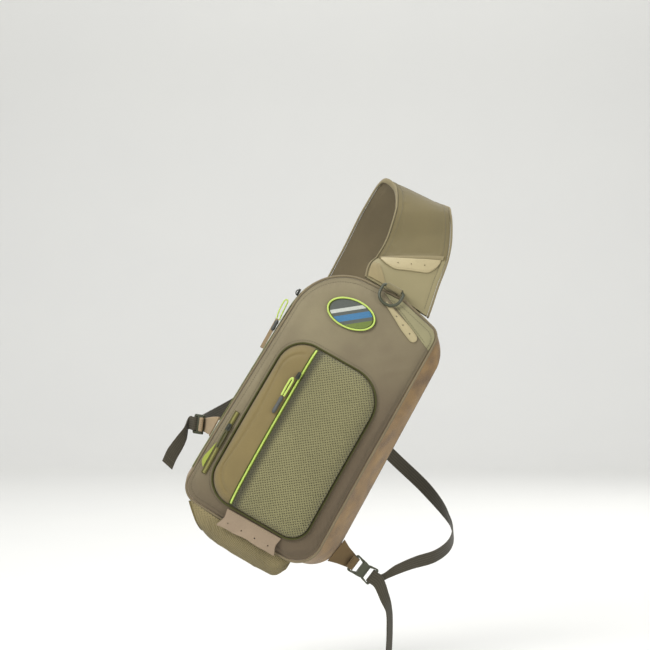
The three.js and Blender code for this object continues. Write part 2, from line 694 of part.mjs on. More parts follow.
// Moulded pocket: a domed wall cut along its zip
const pocketPath = roundedPath(POCKET_OUTLINE);
const POCKET_RIM = Array.from(
  { length: OUTLINE_SAMPLES },
  (_, k) => pocketPath.getPoint(k / OUTLINE_SAMPLES),
);

function pocketRise(rho) {
  return lookup(POCKET_RISE, 'rho', 'rise', rho);
}

function pocketPoint(rho, share, sink) {
  const draw = rho * (1 - sink / (POCKET_OUTLINE[1].x - POCKET_CENTRE.x));
  const { x, z } = drawnIn(pocketPath, POCKET_CENTRE, draw, share);
  return new THREE.Vector3(x, frontY(x, z) - DRAPE_GAP - Math.max(0, pocketRise(rho) - sink), z);
}

// Outer surface of the pocket over a point of the front
function pocketY(x, z) {
  const ray = new THREE.Vector2(x - POCKET_CENTRE.x, z - POCKET_CENTRE.z);
  const turn = ray.angle();
  const rims = POCKET_RIM.map((rim) => {
    const spoke = new THREE.Vector2(rim.x - POCKET_CENTRE.x, rim.y - POCKET_CENTRE.z);
    return { off: Math.abs(Math.sin((spoke.angle() - turn) / 2)), length: spoke.length() };
  });
  const nearest = rims.reduce((best, rim) => (rim.off < best.off ? rim : best));
  return frontY(x, z) - DRAPE_GAP - pocketRise(Math.min(1, ray.length() / nearest.length));
}

const pocketShell = solid(disc(
  POCKET_RISE.map((row) => row.rho).filter((rho) => rho > 0).reverse(),
  POCKET_STEPS,
  (rho, share) => pocketPoint(rho, share, 0),
  (rho, share) => pocketPoint(rho, share, POCKET_WALL),
));
function pocketSlice(from, to) {
  return geometryOf(pocketShell.intersect(solid(block(from, to, -CUT_REACH, 0, -CUT_REACH, CUT_REACH))));
}
const zipLeft = POCKET_ZIP.x - POCKET_ZIP.width / 2;
const zipRight = POCKET_ZIP.x + POCKET_ZIP.width / 2;
addPiece(bag, 'pocket_strip', pocketSlice(-CUT_REACH, zipLeft - GAP), COLOURS.strip);
addPiece(bag, 'pocket_zip', pocketSlice(zipLeft, zipRight), COLOURS.lime, 0.6);
addPiece(bag, 'pocket_mesh', pocketSlice(zipRight + GAP, CUT_REACH), COLOURS.mesh);

const pocketPipingPoints = Array.from({ length: POCKET_STEPS }, (_, k) => {
  const rim = pocketPath.getPoint(k / POCKET_STEPS);
  const tangent = pocketPath.getTangent(k / POCKET_STEPS);
  const offset = POCKET_PIPING_RADIUS + GAP + GAP;
  const x = rim.x + tangent.y * offset;
  const z = rim.y - tangent.x * offset;
  return new THREE.Vector3(x, frontY(x, z) - DRAPE_GAP - POCKET_PIPING_RADIUS, z);
});
const pocketPiping = bead(pocketPipingPoints, POCKET_PIPING_RADIUS, BEAD_SIDES);
addPiece(bag, 'pocket_piping', pocketPiping, COLOURS.piping);

// Short zip laid on the front
function sideZipPoint(u, v, lift) {
  const x = SIDE_ZIP.x + (u - 0.5) * SIDE_ZIP.width;
  const z = THREE.MathUtils.lerp(SIDE_ZIP.z0, SIDE_ZIP.z1, v);
  return new THREE.Vector3(x, frontY(x, z) - DRAPE_GAP - lift, z);
}
const sideZip = wall(
  SIDE_ZIP_STEPS.across,
  SIDE_ZIP_STEPS.along,
  (u, v) => sideZipPoint(u, v, SIDE_ZIP.wall),
  (u, v) => sideZipPoint(u, v, 0),
);
addPiece(bag, 'side_zip', sideZip, COLOURS.zip);

// Slider: a waisted body standing on a zip, with its outward direction along -y
function sliderGeometry() {
  const outline = roundedPath([
    { x: -SLIDER.wide / 2, z: -SLIDER.long / 2, r: SLIDER.foot },
    { x: SLIDER.wide / 2, z: -SLIDER.long / 2, r: SLIDER.foot },
    { x: SLIDER.wide / 2 - SLIDER.taper, z: SLIDER.long / 2, r: SLIDER.nose },
    { x: -SLIDER.wide / 2 + SLIDER.taper, z: SLIDER.long / 2, r: SLIDER.nose },
  ]);
  const body = new THREE.ExtrudeGeometry(outline, {
    depth: SLIDER.tall, bevelEnabled: false, curveSegments: SLIDER_SEGMENTS,
  });
  body.rotateX(Math.PI / 2);
  return body;
}

// Grip: a rounded stick that hangs from its top end
function gripGeometry(length) {
  const upper = GRIP_PROFILE.map((row) => new THREE.Vector2(GRIP_RADIUS * row.share, -row.along));
  const waist = new THREE.Vector2(GRIP_RADIUS * GRIP_WAIST, -length / 2);
  const lower = upper.map((point) => new THREE.Vector2(point.x, -length - point.y));
  const grip = new THREE.LatheGeometry([...lower, waist, ...upper.reverse()], GRIP_SIDES);
  grip.rotateX(Math.PI / 2);
  return grip;
}

// Cord doubled over at its top, as a tube along a hairpin
function cordLoop(points, radius) {
  const section = new THREE.Shape();
  section.absarc(0, 0, radius, 0, 2 * Math.PI, false);
  const route = new THREE.CatmullRomCurve3(points.map((p) => new THREE.Vector3(...p)), false, 'centripetal');
  return new THREE.ExtrudeGeometry(section, {
    steps: CORD_STEPS, extrudePath: route, bevelEnabled: false, curveSegments: CORD_SIDES / 2,
  });
}

const sideSlider = addPiece(bag, 'side_slider', sliderGeometry(), COLOURS.dark, 0.4, 0.6);
const sideSliderY = frontY(SIDE_ZIP.x, SIDE_SLIDER_Z) - 2 * DRAPE_GAP - SIDE_ZIP.wall;
sideSlider.position.set(SIDE_ZIP.x, sideSliderY, SIDE_SLIDER_Z);

const pocketSlider = addPiece(bag, 'pocket_slider', sliderGeometry(), COLOURS.dark, 0.4, 0.6);
const pocketSliderY = pocketY(POCKET_ZIP.x, POCKET_SLIDER_Z) - 2 * DRAPE_GAP;
pocketSlider.position.set(POCKET_ZIP.x - SLIDER.offset, pocketSliderY, POCKET_SLIDER_Z);

// Points of a doubled cord: place(offset, z) gives a point at an offset to one side of its middle
function pullPoints(pull, place) {
  const leg = (side) => PULL_LOOP.map((row) => {
    const z = row.up === undefined ? pull.top - row.down : pull.cordEnd + row.up;
    return place(side * row.share * pull.half, z);
  });
  return [...leg(-1), place(0, pull.top), ...leg(1).reverse()];
}

const sidePullLift = 2 * DRAPE_GAP + SIDE_ZIP.wall + SIDE_PULL.cord;
const sidePullPoints = pullPoints(SIDE_PULL, (offset, z) => [
  SIDE_PULL.x + offset,
  frontY(SIDE_PULL.x, z) - sidePullLift,
  z,
]);
addPiece(bag, 'side_pull_cord', cordLoop(sidePullPoints, SIDE_PULL.cord), COLOURS.piping, 0.7);

const pocketPullY = (z) => pocketY(POCKET_PULL.x, z) - DRAPE_GAP - GRIP_RADIUS;
const pocketPullPoints = pullPoints(POCKET_PULL, (offset, z) => [POCKET_PULL.x + offset, pocketPullY(z), z]);
addPiece(bag, 'pocket_pull_cord', cordLoop(pocketPullPoints, POCKET_PULL.cord), COLOURS.lime, 0.6);
const pocketGripLength = POCKET_PULL.cordEnd - POCKET_PULL.gripEnd;
const pocketGrip = addPiece(bag, 'pocket_pull_grip', gripGeometry(pocketGripLength), COLOURS.dark, 0.6);
pocketGrip.position.set(POCKET_PULL.x, pocketPullY(POCKET_PULL.cordEnd), POCKET_PULL.cordEnd - GAP);
const gripFall = pocketPullY(POCKET_PULL.gripEnd) - pocketPullY(POCKET_PULL.cordEnd);
pocketGrip.rotation.x = Math.atan2(gripFall, pocketGripLength);

// Slider and pull of the main zip, on the left side
const mainPlace = gussetPoint(shareNear({ x: LEFT_EDGE_X, z: MAIN_SLIDER_Z }), MAIN_ZIP_MIDDLE, 0);
const mainSlider = addPiece(bag, 'main_slider', sliderGeometry(), COLOURS.dark, 0.4, 0.6);
mainSlider.position.set(mainPlace.x - 2 * DRAPE_GAP, mainPlace.y, mainPlace.z);
mainSlider.rotation.z = MAIN_SLIDER_TURN;
const mainPullX = (z) => MAIN_PULL.x - MAIN_PULL.lift * Math.min(1, (z - MAIN_PULL.cordEnd) / MAIN_PULL.rise);
const mainPullPoints = pullPoints(MAIN_PULL, (offset, z) => [mainPullX(z) + offset, MAIN_PULL.y, z]);
addPiece(bag, 'main_pull_cord', cordLoop(mainPullPoints, MAIN_PULL.cord), COLOURS.lime, 0.6);
const mainGripLength = MAIN_PULL.cordEnd - MAIN_PULL.gripEnd;
const mainGrip = addPiece(bag, 'main_pull_grip', gripGeometry(mainGripLength), COLOURS.dark, 0.6);
mainGrip.position.set(MAIN_PULL.x, MAIN_PULL.y, MAIN_PULL.cordEnd - GAP);

// Oval badge laid on the front, with a raised rim
function badgePoint(rho, share, lift) {
  const angle = 2 * Math.PI * share;
  const long = BADGE.halfLong * rho * Math.cos(angle);
  const short = BADGE.halfShort * rho * Math.sin(angle);
  const x = BADGE.x + long * Math.cos(BADGE.turn) - short * Math.sin(BADGE.turn);
  const z = BADGE.z + long * Math.sin(BADGE.turn) + short * Math.cos(BADGE.turn);
  return new THREE.Vector3(x, frontY(x, z) - DRAPE_GAP - lift, z);
}
addPiece(bag, 'badge', disc(
  BADGE_RINGS,
  BADGE_STEPS,
  (rho, share) => badgePoint(rho, share, BADGE.wall),
  (rho, share) => badgePoint(rho, share, 0),
), COLOURS.badge, 0.6);
const badgeRimLift = BADGE.wall + BADGE.rim + GAP;
const badgeRimPoints = Array.from(
  { length: BADGE_STEPS },
  (_, k) => badgePoint(BADGE_RIM_SHARE, k / BADGE_STEPS, badgeRimLift),
);
addPiece(bag, 'badge_rim', bead(badgeRimPoints, BADGE.rim, BEAD_SIDES), COLOURS.lime, 0.6);

// Leather flap that hangs over the lower edge
function bottomTrimPoint(u, v, lift) {
  const z = THREE.MathUtils.lerp(BOTTOM_TRIM.bottom, BOTTOM_TRIM.top, v);
  const spread = BOTTOM_TRIM.flare * (1 - v) * (2 * u - 1);
  const x = THREE.MathUtils.lerp(BOTTOM_TRIM.x0, BOTTOM_TRIM.x1, u) + spread;
  return new THREE.Vector3(x, frontY(x, BOTTOM_TRIM.top) - DRAPE_GAP - lift, z);
}
addPiece(bag, 'bottom_trim', drilled(
  wall(
    BOTTOM_TRIM_STEPS.across,
    BOTTOM_TRIM_STEPS.down,
    (u, v) => bottomTrimPoint(u, v, BOTTOM_TRIM.wall),
    (u, v) => bottomTrimPoint(u, v, 0),
  ),
  BOTTOM_TRIM_HOLES.map((u) => ({
    at: bottomTrimPoint(u, BOTTOM_TRIM_HOLE_ROW, BOTTOM_TRIM.wall / 2),
    along: new THREE.Vector3(0, 1, 0),
  })),
), COLOURS.pink, 0.7);

// Mesh sleeve: a trough under the base, open at its slanting mouth and drawn in at its other end
function sleevePoint(u, v, sink) {
  const drop = lookup(SLEEVE, 'share', 'drop', u) - sink;
  const half = lookup(SLEEVE, 'share', 'half', u) - sink;
  const angle = Math.PI * v;
  const depth = Math.sin(angle) ** SLEEVE_ROUND;
  const mouth = THREE.MathUtils.lerp(SLEEVE_MOUTH.top, SLEEVE_MOUTH.bottom, depth) + SLEEVE_MOUTH.rear * v;
  const frontEdge = lookup(SLEEVE, 'share', 'front', u);
  const rearEdge = lookup(SLEEVE, 'share', 'rear', u);
  const edge = THREE.MathUtils.lerp(frontEdge, rearEdge, v);
  const endShare = Math.max(0, (u - SLEEVE_END_START) / (1 - SLEEVE_END_START));
  const x = THREE.MathUtils.lerp(mouth, SLEEVE_END, u) - sink * endShare;
  const swing = Math.cos(angle);
  return new THREE.Vector3(
    x,
    SLEEVE_Y - half * Math.sign(swing) * Math.abs(swing) ** SLEEVE_ROUND,
    edge - (drop + edge) * depth,
  );
}
addPiece(bag, 'mesh_sleeve', wall(
  SLEEVE_STEPS,
  SLEEVE_SIDES,
  (u, v) => sleevePoint(u, v, 0),
  (u, v) => sleevePoint(u, v, SLEEVE_WALL),
), COLOURS.mesh);

// Hem round the mouth of the sleeve
const hemFrames = Array.from({ length: SLEEVE_SIDES + 1 }, (_, k) => {
  const centre = sleevePoint(0, k / SLEEVE_SIDES, SLEEVE_WALL / 2);
  const next = sleevePoint(0, Math.min(1, (k + 1) / SLEEVE_SIDES), SLEEVE_WALL / 2);
  const before = sleevePoint(0, Math.max(0, (k - 1) / SLEEVE_SIDES), SLEEVE_WALL / 2);
  const tangent = next.sub(before).normalize();
  const across = new THREE.Vector3(1, 0, 0).addScaledVector(tangent, -tangent.x).normalize();
  centre.addScaledVector(across, -(HEM_RADIUS + 2 * GAP));
  return { centre, across, out: across.clone().cross(tangent) };
});
addPiece(bag, 'sleeve_hem', sweep(hemFrames, roundSection(HEM_RADIUS, HEM_SIDES)), COLOURS.piping);

// Tan tab on the left seam
const tab = UPPER_TAB;
const tabHalf = tab.wall / 2;
const tabBody = block(tab.x0, tab.x1, tab.y - tabHalf, tab.y + tabHalf, tab.z0, tab.z1);
addPiece(bag, 'upper_tab', tabBody, COLOURS.tan);

// Hanging ring: a straight bar above and a bow below, in a plane that leans to the front
const ringPath = roundedPath([
  { x: -RING.half, z: -RING.drop, r: RING_CORNERS.bow },
  { x: RING.half, z: -RING.drop, r: RING_CORNERS.bow },
  { x: RING.half, z: 0, r: RING_CORNERS.bar },
  { x: -RING.half, z: 0, r: RING_CORNERS.bar },
]);
const ringPoints = Array.from({ length: RING_STEPS }, (_, k) => {
  const place = ringPath.getPoint(k / RING_STEPS);
  return new THREE.Vector3(place.x, 0, place.y);
});
const ring = addPiece(bag, 'd_ring', bead(ringPoints, RING.wire, RING_SIDES), COLOURS.plastic, 0.4);
ring.position.set(RING.x, RING.y, RING.z);
ring.rotation.x = -RING.lean;

// Keeper: a fold of webbing round the ring's bar
const foldRadius = RING.wire + KEEPER.clear;
const fold = new THREE.Shape();
fold.moveTo(KEEPER.back, RING.z - foldRadius - KEEPER.wall);
fold.lineTo(RING.y, RING.z - foldRadius - KEEPER.wall);
fold.absarc(RING.y, RING.z, foldRadius + KEEPER.wall, -Math.PI / 2, Math.PI / 2, true);
fold.lineTo(KEEPER.back, RING.z + foldRadius + KEEPER.wall);
fold.lineTo(KEEPER.back, RING.z + foldRadius);
fold.lineTo(RING.y, RING.z + foldRadius);
fold.absarc(RING.y, RING.z, foldRadius, Math.PI / 2, -Math.PI / 2, false);
fold.lineTo(KEEPER.back, RING.z - foldRadius);
fold.closePath();
const keeperBody = new THREE.ExtrudeGeometry(fold, {
  depth: 2 * KEEPER.half, bevelEnabled: false, curveSegments: FOLD_SEGMENTS,
});
// The fold is drawn in y and z and extruded along x
keeperBody.applyMatrix4(new THREE.Matrix4().set(
  0, 0, 1, RING.x - KEEPER.half,
  1, 0, 0, 0,
  0, 1, 0, 0,
  0, 0, 0, 1,
));
addPiece(bag, 'ring_keeper', keeperBody, COLOURS.tan);

// Shoulder strap: crowned on top, nearly flat below
const strapCurve = new THREE.CatmullRomCurve3(
  STRAP.map((row) => new THREE.Vector3(row.x, row.y, row.z)),
  false,
  'centripetal',
);
const strapFrames = stationFrames(STRAP, STRAP_SUBSTEPS);
const strapTop = (frame, a) => frame.thick * (0.5 - STRAP_EDGE_THIN * a ** 4);
function strapSection(frame) {
  const half = frame.width / 2;
  const upper = STRAP_SECTION.map((a) => [a * half, strapTop(frame, a)]);
  const lower = STRAP_SECTION.map((a) => [a * half, -strapTop(frame, a)]);
  return [...lower, ...upper.reverse()];
}
addPiece(part, 'shoulder_strap', sweep(strapFrames, strapSection), COLOURS.strap);

// Binding along both edges of the strap
for (const [name, side] of [['strap_binding_inner', -1], ['strap_binding_outer', 1]]) {
  const section = (frame) => roundSection(1, BEAD_SIDES)().map(([a, b]) => [
    side * (frame.width / 2 + GAP + BINDING.width / 2) + a * BINDING.width / 2,
    b * frame.thick * BINDING.share,
  ]);
  addPiece(part, name, sweep(strapFrames, section), COLOURS.binding);
}

// Leather trim across the strap: straight above and bowed below
function strapTrimPoint(u, v, lift) {
  const a = (2 * u - 1) * STRAP_TRIM.half;
  const tall = STRAP_TRIM.tall * lookup(STRAP_TRIM_SHAPE, 'a', 'share', 2 * u - 1);
  const place = STRAP_TRIM.station - tall * (1 - v);
  const frame = frameAt(strapCurve, STRAP, place);
  return frame.centre
    .addScaledVector(frame.across, a * frame.width / 2)
    .addScaledVector(frame.out, strapTop(frame, a) + DRAPE_GAP + lift);
}
const strapTrimBody = wall(
  STRAP_TRIM.steps,
  STRAP_TRIM.stepsDown,
  (u, v) => strapTrimPoint(u, v, STRAP_TRIM.wall),
  (u, v) => strapTrimPoint(u, v, 0),
);
const strapTrimHoles = STRAP_TRIM_HOLES.map((a) => ({
  at: strapTrimPoint((a / STRAP_TRIM.half + 1) / 2, 0.5, STRAP_TRIM.wall / 2),
  along: frameAt(strapCurve, STRAP, STRAP_TRIM.station).out,
}));
addPiece(part, 'strap_trim', drilled(strapTrimBody, strapTrimHoles), COLOURS.cream, 0.7);

// Fastenings at the sides. Each is laid out in a frame that starts at the bag's seam: travel runs away
// from the bag and slopes down by its pitch, out is its outer face, and its width lies across its travel.
// The seam it starts from leans out by its lean.
function sideFrame(side, sign) {
  const travel = new THREE.Vector3(sign * Math.cos(side.turn), Math.sin(side.turn), 0);
  const out = new THREE.Vector3(sign * Math.sin(side.turn), -Math.cos(side.turn), 0);
  const basis = new THREE.Group();
  const along = new THREE.Vector3(0, 0, 1);
  const slope = new THREE.Matrix4().makeRotationY(sign * side.pitch);
  basis.matrix.makeBasis(travel, out, along).premultiply(slope).setPosition(side.x, side.y, side.z);
  basis.matrixAutoUpdate = false;
  bag.add(basis);
  part.updateMatrixWorld(true);
  return basis;
}

// Plate drawn in travel and width with slots through it, each as wide at its end as it says, extruded
// along its outward direction
function slottedPlate(corners, slots, thick) {
  const outline = roundedPath(corners);
  for (const slot of slots) {
    const hole = roundedPath([
      { x: slot.from, z: -slot.half, r: SLOT_RADIUS },
      { x: slot.to, z: -slot.halfEnd, r: SLOT_RADIUS },
      { x: slot.to, z: slot.halfEnd, r: SLOT_RADIUS },
      { x: slot.from, z: slot.half, r: SLOT_RADIUS },
    ]);
    outline.holes.push(new THREE.Path(hole.getPoints(PLATE_SEGMENTS.slot).slice(0, -1)));
  }
  const plate = new THREE.ExtrudeGeometry(outline, {
    depth: thick, bevelEnabled: false, curveSegments: PLATE_SEGMENTS.edge,
  });
  plate.rotateX(Math.PI / 2);
  plate.translate(0, thick / 2, 0);
  return plate;
}

// Round turn of a band about a bar: stations from one face of the bar to the other
function turnAbout(centre, radius, from, to, steps) {
  return Array.from({ length: steps + 1 }, (_, k) => {
    const angle = THREE.MathUtils.lerp(from, to, k / steps);
    return { x: centre + radius * Math.cos(angle), y: radius * Math.sin(angle) };
  });
}

// Wing: a tapered tab that starts along the seam and is folded round the first bar of its fitting
function wing(side, sizes, barCentre, barReach) {
  const radius = barReach + FOLD_CLEAR + WING_WALL / 2;
  const turn = turnAbout(barCentre, radius, -Math.PI / 2, Math.PI / 2, FOLD_STEPS);
  const sloped = Math.sin(side.pitch - side.lean);
  const seamWay = {
    ax: -Math.cos(side.turn) * sloped,
    ay: -Math.sin(side.turn) * sloped,
    az: Math.cos(side.pitch - side.lean),
  };
  const rows = [
    { x: GAP, y: 0, width: sizes.root, ...seamWay },
    { x: side.wing * WING_BEND.along, y: -radius * WING_BEND.sink, width: (sizes.root + sizes.tip) / 2 },
    ...turn.map((place) => ({ ...place, width: sizes.tip })),
    { x: barCentre - radius - WING_BEND.tail, y: radius * WING_BEND.tailLift, width: sizes.tip },
  ];
  const stations = rows.map((row) => ({ z: 0, thick: WING_WALL, ax: 0, ay: 0, az: 1, ...row }));
  return sweep(stationFrames(stations, WING_SUBSTEPS), flatSection);
}

// Left: wing, ladder lock and the webbing that turns round its far bar
const left = sideFrame(LEFT_SIDE, -1);
const lockStart = LEFT_SIDE.wing;
const lockEnd = lockStart + 3 * LOCK.bar + 2 * LOCK.slotLong;
const lockHalf = LOCK.wide / 2;
const lockSlots = [0, 1].map((k) => {
  const from = lockStart + LOCK.bar + k * (LOCK.bar + LOCK.slotLong);
  return { from, to: from + LOCK.slotLong, half: LOCK.slot / 2, halfEnd: LOCK.slot / 2 };
});
const barReach = Math.hypot(LOCK.bar, LOCK.wall) / 2;
addPiece(left, 'ladder_lock', slottedPlate([
  { x: lockStart, z: -lockHalf, r: LOCK_CORNERS.near },
  { x: lockEnd, z: -lockHalf, r: LOCK_CORNERS.far },
  { x: lockEnd, z: lockHalf, r: LOCK_CORNERS.far },
  { x: lockStart, z: lockHalf, r: LOCK_CORNERS.near },
], lockSlots, LOCK.wall), COLOURS.plastic, 0.45);
addPiece(left, 'left_wing', wing(LEFT_SIDE, LEFT_WING, lockStart + LOCK.bar / 2, barReach), COLOURS.tan);

// Stations of a band coming along one face of a bar, round it and away along the other face, in the
// part's frame, with its width along the bag
function bandTurn(basis, centre, radius, from, to) {
  const width = new THREE.Vector3(0, 0, 1).transformDirection(basis.matrixWorld);
  const lead = [
    { x: centre + TURN_LEAD, y: TURN_SPREAD * radius * Math.sin(from) },
    ...turnAbout(centre, radius, from, to, TURN_STEPS),
    { x: centre + TURN_LEAD, y: TURN_SPREAD * radius * Math.sin(to) },
  ];
  return lead.map((place) => {
    const point = new THREE.Vector3(place.x, place.y, 0).applyMatrix4(basis.matrixWorld);
    return { x: point.x, y: point.y, z: point.z, ax: width.x, ay: width.y, az: width.z };
  });
}

function band(stations) {
  const rows = stations.map((row) => ({ ...row, width: WEBBING.width, thick: WEBBING.wall }));
  return sweep(stationFrames(rows, WEBBING_SUBSTEPS), flatSection);
}

function turned(stations) {
  return stations.map((row) => ({ ...row, ax: -row.ax, ay: -row.ay, az: -row.az }));
}

const bandRadius = barReach + FOLD_CLEAR + WEBBING.wall / 2;
const farBar = lockEnd - LOCK.bar / 2;
const lockTurn = bandTurn(left, farBar, bandRadius, -Math.PI / 2, (-3 * Math.PI) / 2);
const mainBand = band([...MAIN_WEBBING_REAR, ...turned(lockTurn), ...MAIN_TAIL]);
addPiece(part, 'main_webbing', mainBand, COLOURS.webbing);

// Right: wing, side-release buckle fastened, and the stabiliser webbing
const right = sideFrame(RIGHT_SIDE, 1);
const femaleStart = RIGHT_SIDE.wing;
const femaleEnd = femaleStart + FEMALE.long;
const maleEnd = femaleEnd + MALE.long;
const buckleHalf = BUCKLE.wide / 2;
const waistHalf = BUCKLE.waist / 2;
const wingSlot = {
  from: femaleStart + BUCKLE.bar,
  to: femaleStart + BUCKLE.bar + FEMALE.slotLong,
  half: BUCKLE.slot / 2,
  halfEnd: FEMALE.slotEnd / 2,
};
const bandSlot = {
  from: maleEnd - BUCKLE.bar - MALE.slotLong,
  to: maleEnd - BUCKLE.bar,
  half: MALE.slotEnd / 2,
  halfEnd: BUCKLE.slot / 2,
};
const femaleBody = solid(slottedPlate([
  { x: femaleStart, z: -buckleHalf, r: BUCKLE_CORNERS.far },
  { x: femaleEnd, z: -waistHalf, r: BUCKLE_CORNERS.near },
  { x: femaleEnd, z: waistHalf, r: BUCKLE_CORNERS.near },
  { x: femaleStart, z: buckleHalf, r: BUCKLE_CORNERS.far },
], [wingSlot], BUCKLE.wall));
const cavityHalf = PRONG.wall / 2 + GAP;
const cavityStart = femaleEnd - FEMALE.inset;
const cavity = solid(block(
  cavityStart,
  femaleEnd + CAVITY.mouth,
  -cavityHalf,
  cavityHalf,
  -CAVITY.half,
  CAVITY.half,
));
const windowHalf = cavityHalf + WINDOW.deeper;
const windows = solid(block(
  cavityStart + WINDOW.inset,
  femaleEnd - WINDOW.end,
  -windowHalf,
  windowHalf,
  -BUCKLE.wide,
  BUCKLE.wide,
));
// The bar that carries the wing is thinner than the body
const flatten = [-1, 1].map((face) => {
  const planes = [face * LOCK.wall / 2, face * BUCKLE.wall].sort((a, b) => a - b);
  return solid(block(0, wingSlot.to, ...planes, -BUCKLE.wide, BUCKLE.wide));
});
const female = [cavity, windows, ...flatten].reduce((body, cut) => body.subtract(cut), femaleBody);
addPiece(right, 'buckle_female', geometryOf(female), COLOURS.plastic, 0.45);

const maleBody = solid(slottedPlate([
  { x: femaleEnd + GAP, z: -waistHalf, r: BUCKLE_CORNERS.near },
  { x: maleEnd, z: -buckleHalf, r: BUCKLE_CORNERS.far },
  { x: maleEnd, z: buckleHalf, r: BUCKLE_CORNERS.far },
  { x: femaleEnd + GAP, z: waistHalf, r: BUCKLE_CORNERS.near },
], [bandSlot], LOCK.wall));
const prongs = [-1, 1].map((sign) => {
  const centre = sign * PRONG.offset;
  const thickness = PRONG.wall / 2;
  const half = PRONG.wide / 2;
  const start = cavityStart + PRONG.lead;
  const end = femaleEnd + PRONG.lead;
  return solid(block(start, end, -thickness, thickness, centre - half, centre + half));
});
addPiece(right, 'buckle_male', geometryOf(prongs.reduce((body, prong) => body.add(prong), maleBody)),
  COLOURS.plastic, 0.45);
const femaleBarReach = Math.hypot(BUCKLE.bar, LOCK.wall) / 2;
const rightWing = wing(RIGHT_SIDE, RIGHT_WING, femaleStart + BUCKLE.bar / 2, femaleBarReach);
addPiece(right, 'right_wing', rightWing, COLOURS.gusset);

const maleBar = maleEnd - BUCKLE.bar / 2;
const buckleTurn = bandTurn(right, maleBar, bandRadius, Math.PI / 2, (3 * Math.PI) / 2);
const stabiliser = band([...STABILISER_TAIL, ...buckleTurn, ...STABILISER_REAR]);
addPiece(part, 'stabiliser_webbing', stabiliser, COLOURS.webbing);

export default part;
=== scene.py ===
"""Sling tackle bag in its worn shape: the looks of every piece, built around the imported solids."""

import math

import bmesh
import bpy
import numpy as np
from mathutils import Matrix, Vector
from mathutils.bvhtree import BVHTree

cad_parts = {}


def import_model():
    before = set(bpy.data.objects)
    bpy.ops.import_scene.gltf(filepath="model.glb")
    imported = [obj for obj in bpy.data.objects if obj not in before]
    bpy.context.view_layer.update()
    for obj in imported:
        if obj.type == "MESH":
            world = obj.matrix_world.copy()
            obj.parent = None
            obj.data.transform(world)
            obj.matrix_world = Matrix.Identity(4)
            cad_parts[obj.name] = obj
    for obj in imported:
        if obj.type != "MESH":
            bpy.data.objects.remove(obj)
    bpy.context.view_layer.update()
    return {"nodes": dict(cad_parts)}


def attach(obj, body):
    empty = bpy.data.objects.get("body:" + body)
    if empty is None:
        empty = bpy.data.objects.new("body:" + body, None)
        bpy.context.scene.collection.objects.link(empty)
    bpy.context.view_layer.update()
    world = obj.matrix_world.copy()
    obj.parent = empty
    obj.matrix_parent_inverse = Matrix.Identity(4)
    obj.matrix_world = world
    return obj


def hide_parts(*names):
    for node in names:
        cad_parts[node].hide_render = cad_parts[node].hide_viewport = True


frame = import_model()

MM = 0.001  # tables below are in millimetres, as in the part's source
CLEAR = 0.4  # gap between neighbouring pieces
DRAPE = 0.9  # gap under a piece laid on a curved wall

# How the bag hangs
BAG_ORIGIN = np.array((-248.0, -125.0, -485.0))
BAG_TILT = math.radians(29)
BAG_YAW = math.radians(-5)
BAG_TURN = np.array(Matrix.Rotation(BAG_TILT, 3, "Y") @ Matrix.Rotation(BAG_YAW, 3, "Z"))
ACROSS, REAR, UP = BAG_TURN.T  # directions of the bag
FRONT = -REAR

# Outlines in the bag frame, anticlockwise: x, z, corner radius
FRONT_OUTLINE = [(-108, 2, 24), (103, -8, 36), (102, 380, 18), (34, 397, 60), (-97, 392, 78)]
BACK_OUTLINE = [(-122, -2, 32), (126, -10, 46), (123, 380, 56), (34, 396, 60), (-105, 391, 84)]
POCKET_OUTLINE = [(-81, 22, 40), (77, 20, 28), (77, 276, 50), (-79, 277, 38)]
FRONT_CENTRE = np.array((0.0, 190.0))
POCKET_CENTRE = np.array((-2.0, 149.0))

# Depth of the bag along its length: z, depth
DEPTHS = [(-20, 76), (60, 88), (150, 82), (240, 66), (330, 48), (410, 35)]
FRONT_HALF = (106, 204)
FRONT_CROWN = 10
EDGE_ROLL = 6
EDGE_ROLL_START = 0.86
RIM_RUN = 1170  # way round the front
SIDE_RUN = 66  # way across the side wall
FRONT_WALL = 3
GUSSET_WALL = 2
GUSSET_BULGE = 3
BACK_WALL = 8
BACK_CROWN = 4
PIPING_RADIUS = 1.8

# Main zip: share of the side wall's depth at its middle, its tape's two edges, and its slider
ZIP_DEPTH = 0.495
ZIP_TAPE_DEPTHS = (0.425, 0.565)
MAIN_SLIDER = {"near": (-98, 326), "turn": math.radians(80)}

# Seams of the side wall, as points near the front outline
SEAM_LOWER_LEFT = (-108, 36)
SEAM_LOWER_RIGHT = (78, -7)
SEAM_UPPER_RIGHT = (90, 383)
CORNER_SEAM = np.array(((-1.4, 398.0), (88.6, 358.0)))

# Creases of the front cloth: where each begins and ends, its height, its width
CREASES = [
    ((58, -2), (98, 24), 1.6, 3.6),
    ((72, -4), (100, 10), 1.2, 3.0),
    ((84, 14), (98, 64), 1.6, 3.8),
    ((90, 76), (97, 142), 1.3, 4.0),
    ((86, 168), (97, 236), 1.4, 4.2),
    ((60, 292), (94, 318), 1.3, 5.5),
    ((40, 300), (88, 342), 1.0, 6.0),
    ((-88, 176), (-96, 232), 1.1, 4.0),
    ((-84, 12), (-98, 30), 1.3, 4.0),
]

# Moulded pocket: share of the way to the rim, rise over the front
POCKET_RISE = [(0, 24), (0.5, 23.2), (0.8, 20.5), (0.92, 15.5), (0.975, 8.5), (1, 0)]
POCKET_WALL = 2
POCKET_ZIP_X = -37
POCKET_ZIP_WIDTH = 5.6
POCKET_ZIP_ENDS = (24.5, 274.5)
POCKET_SLIDER_Z = 231
POCKET_PIPING_RADIUS = 1.5
POCKET_SEAM = 7  # from the rim of the pocket to the stitches round it

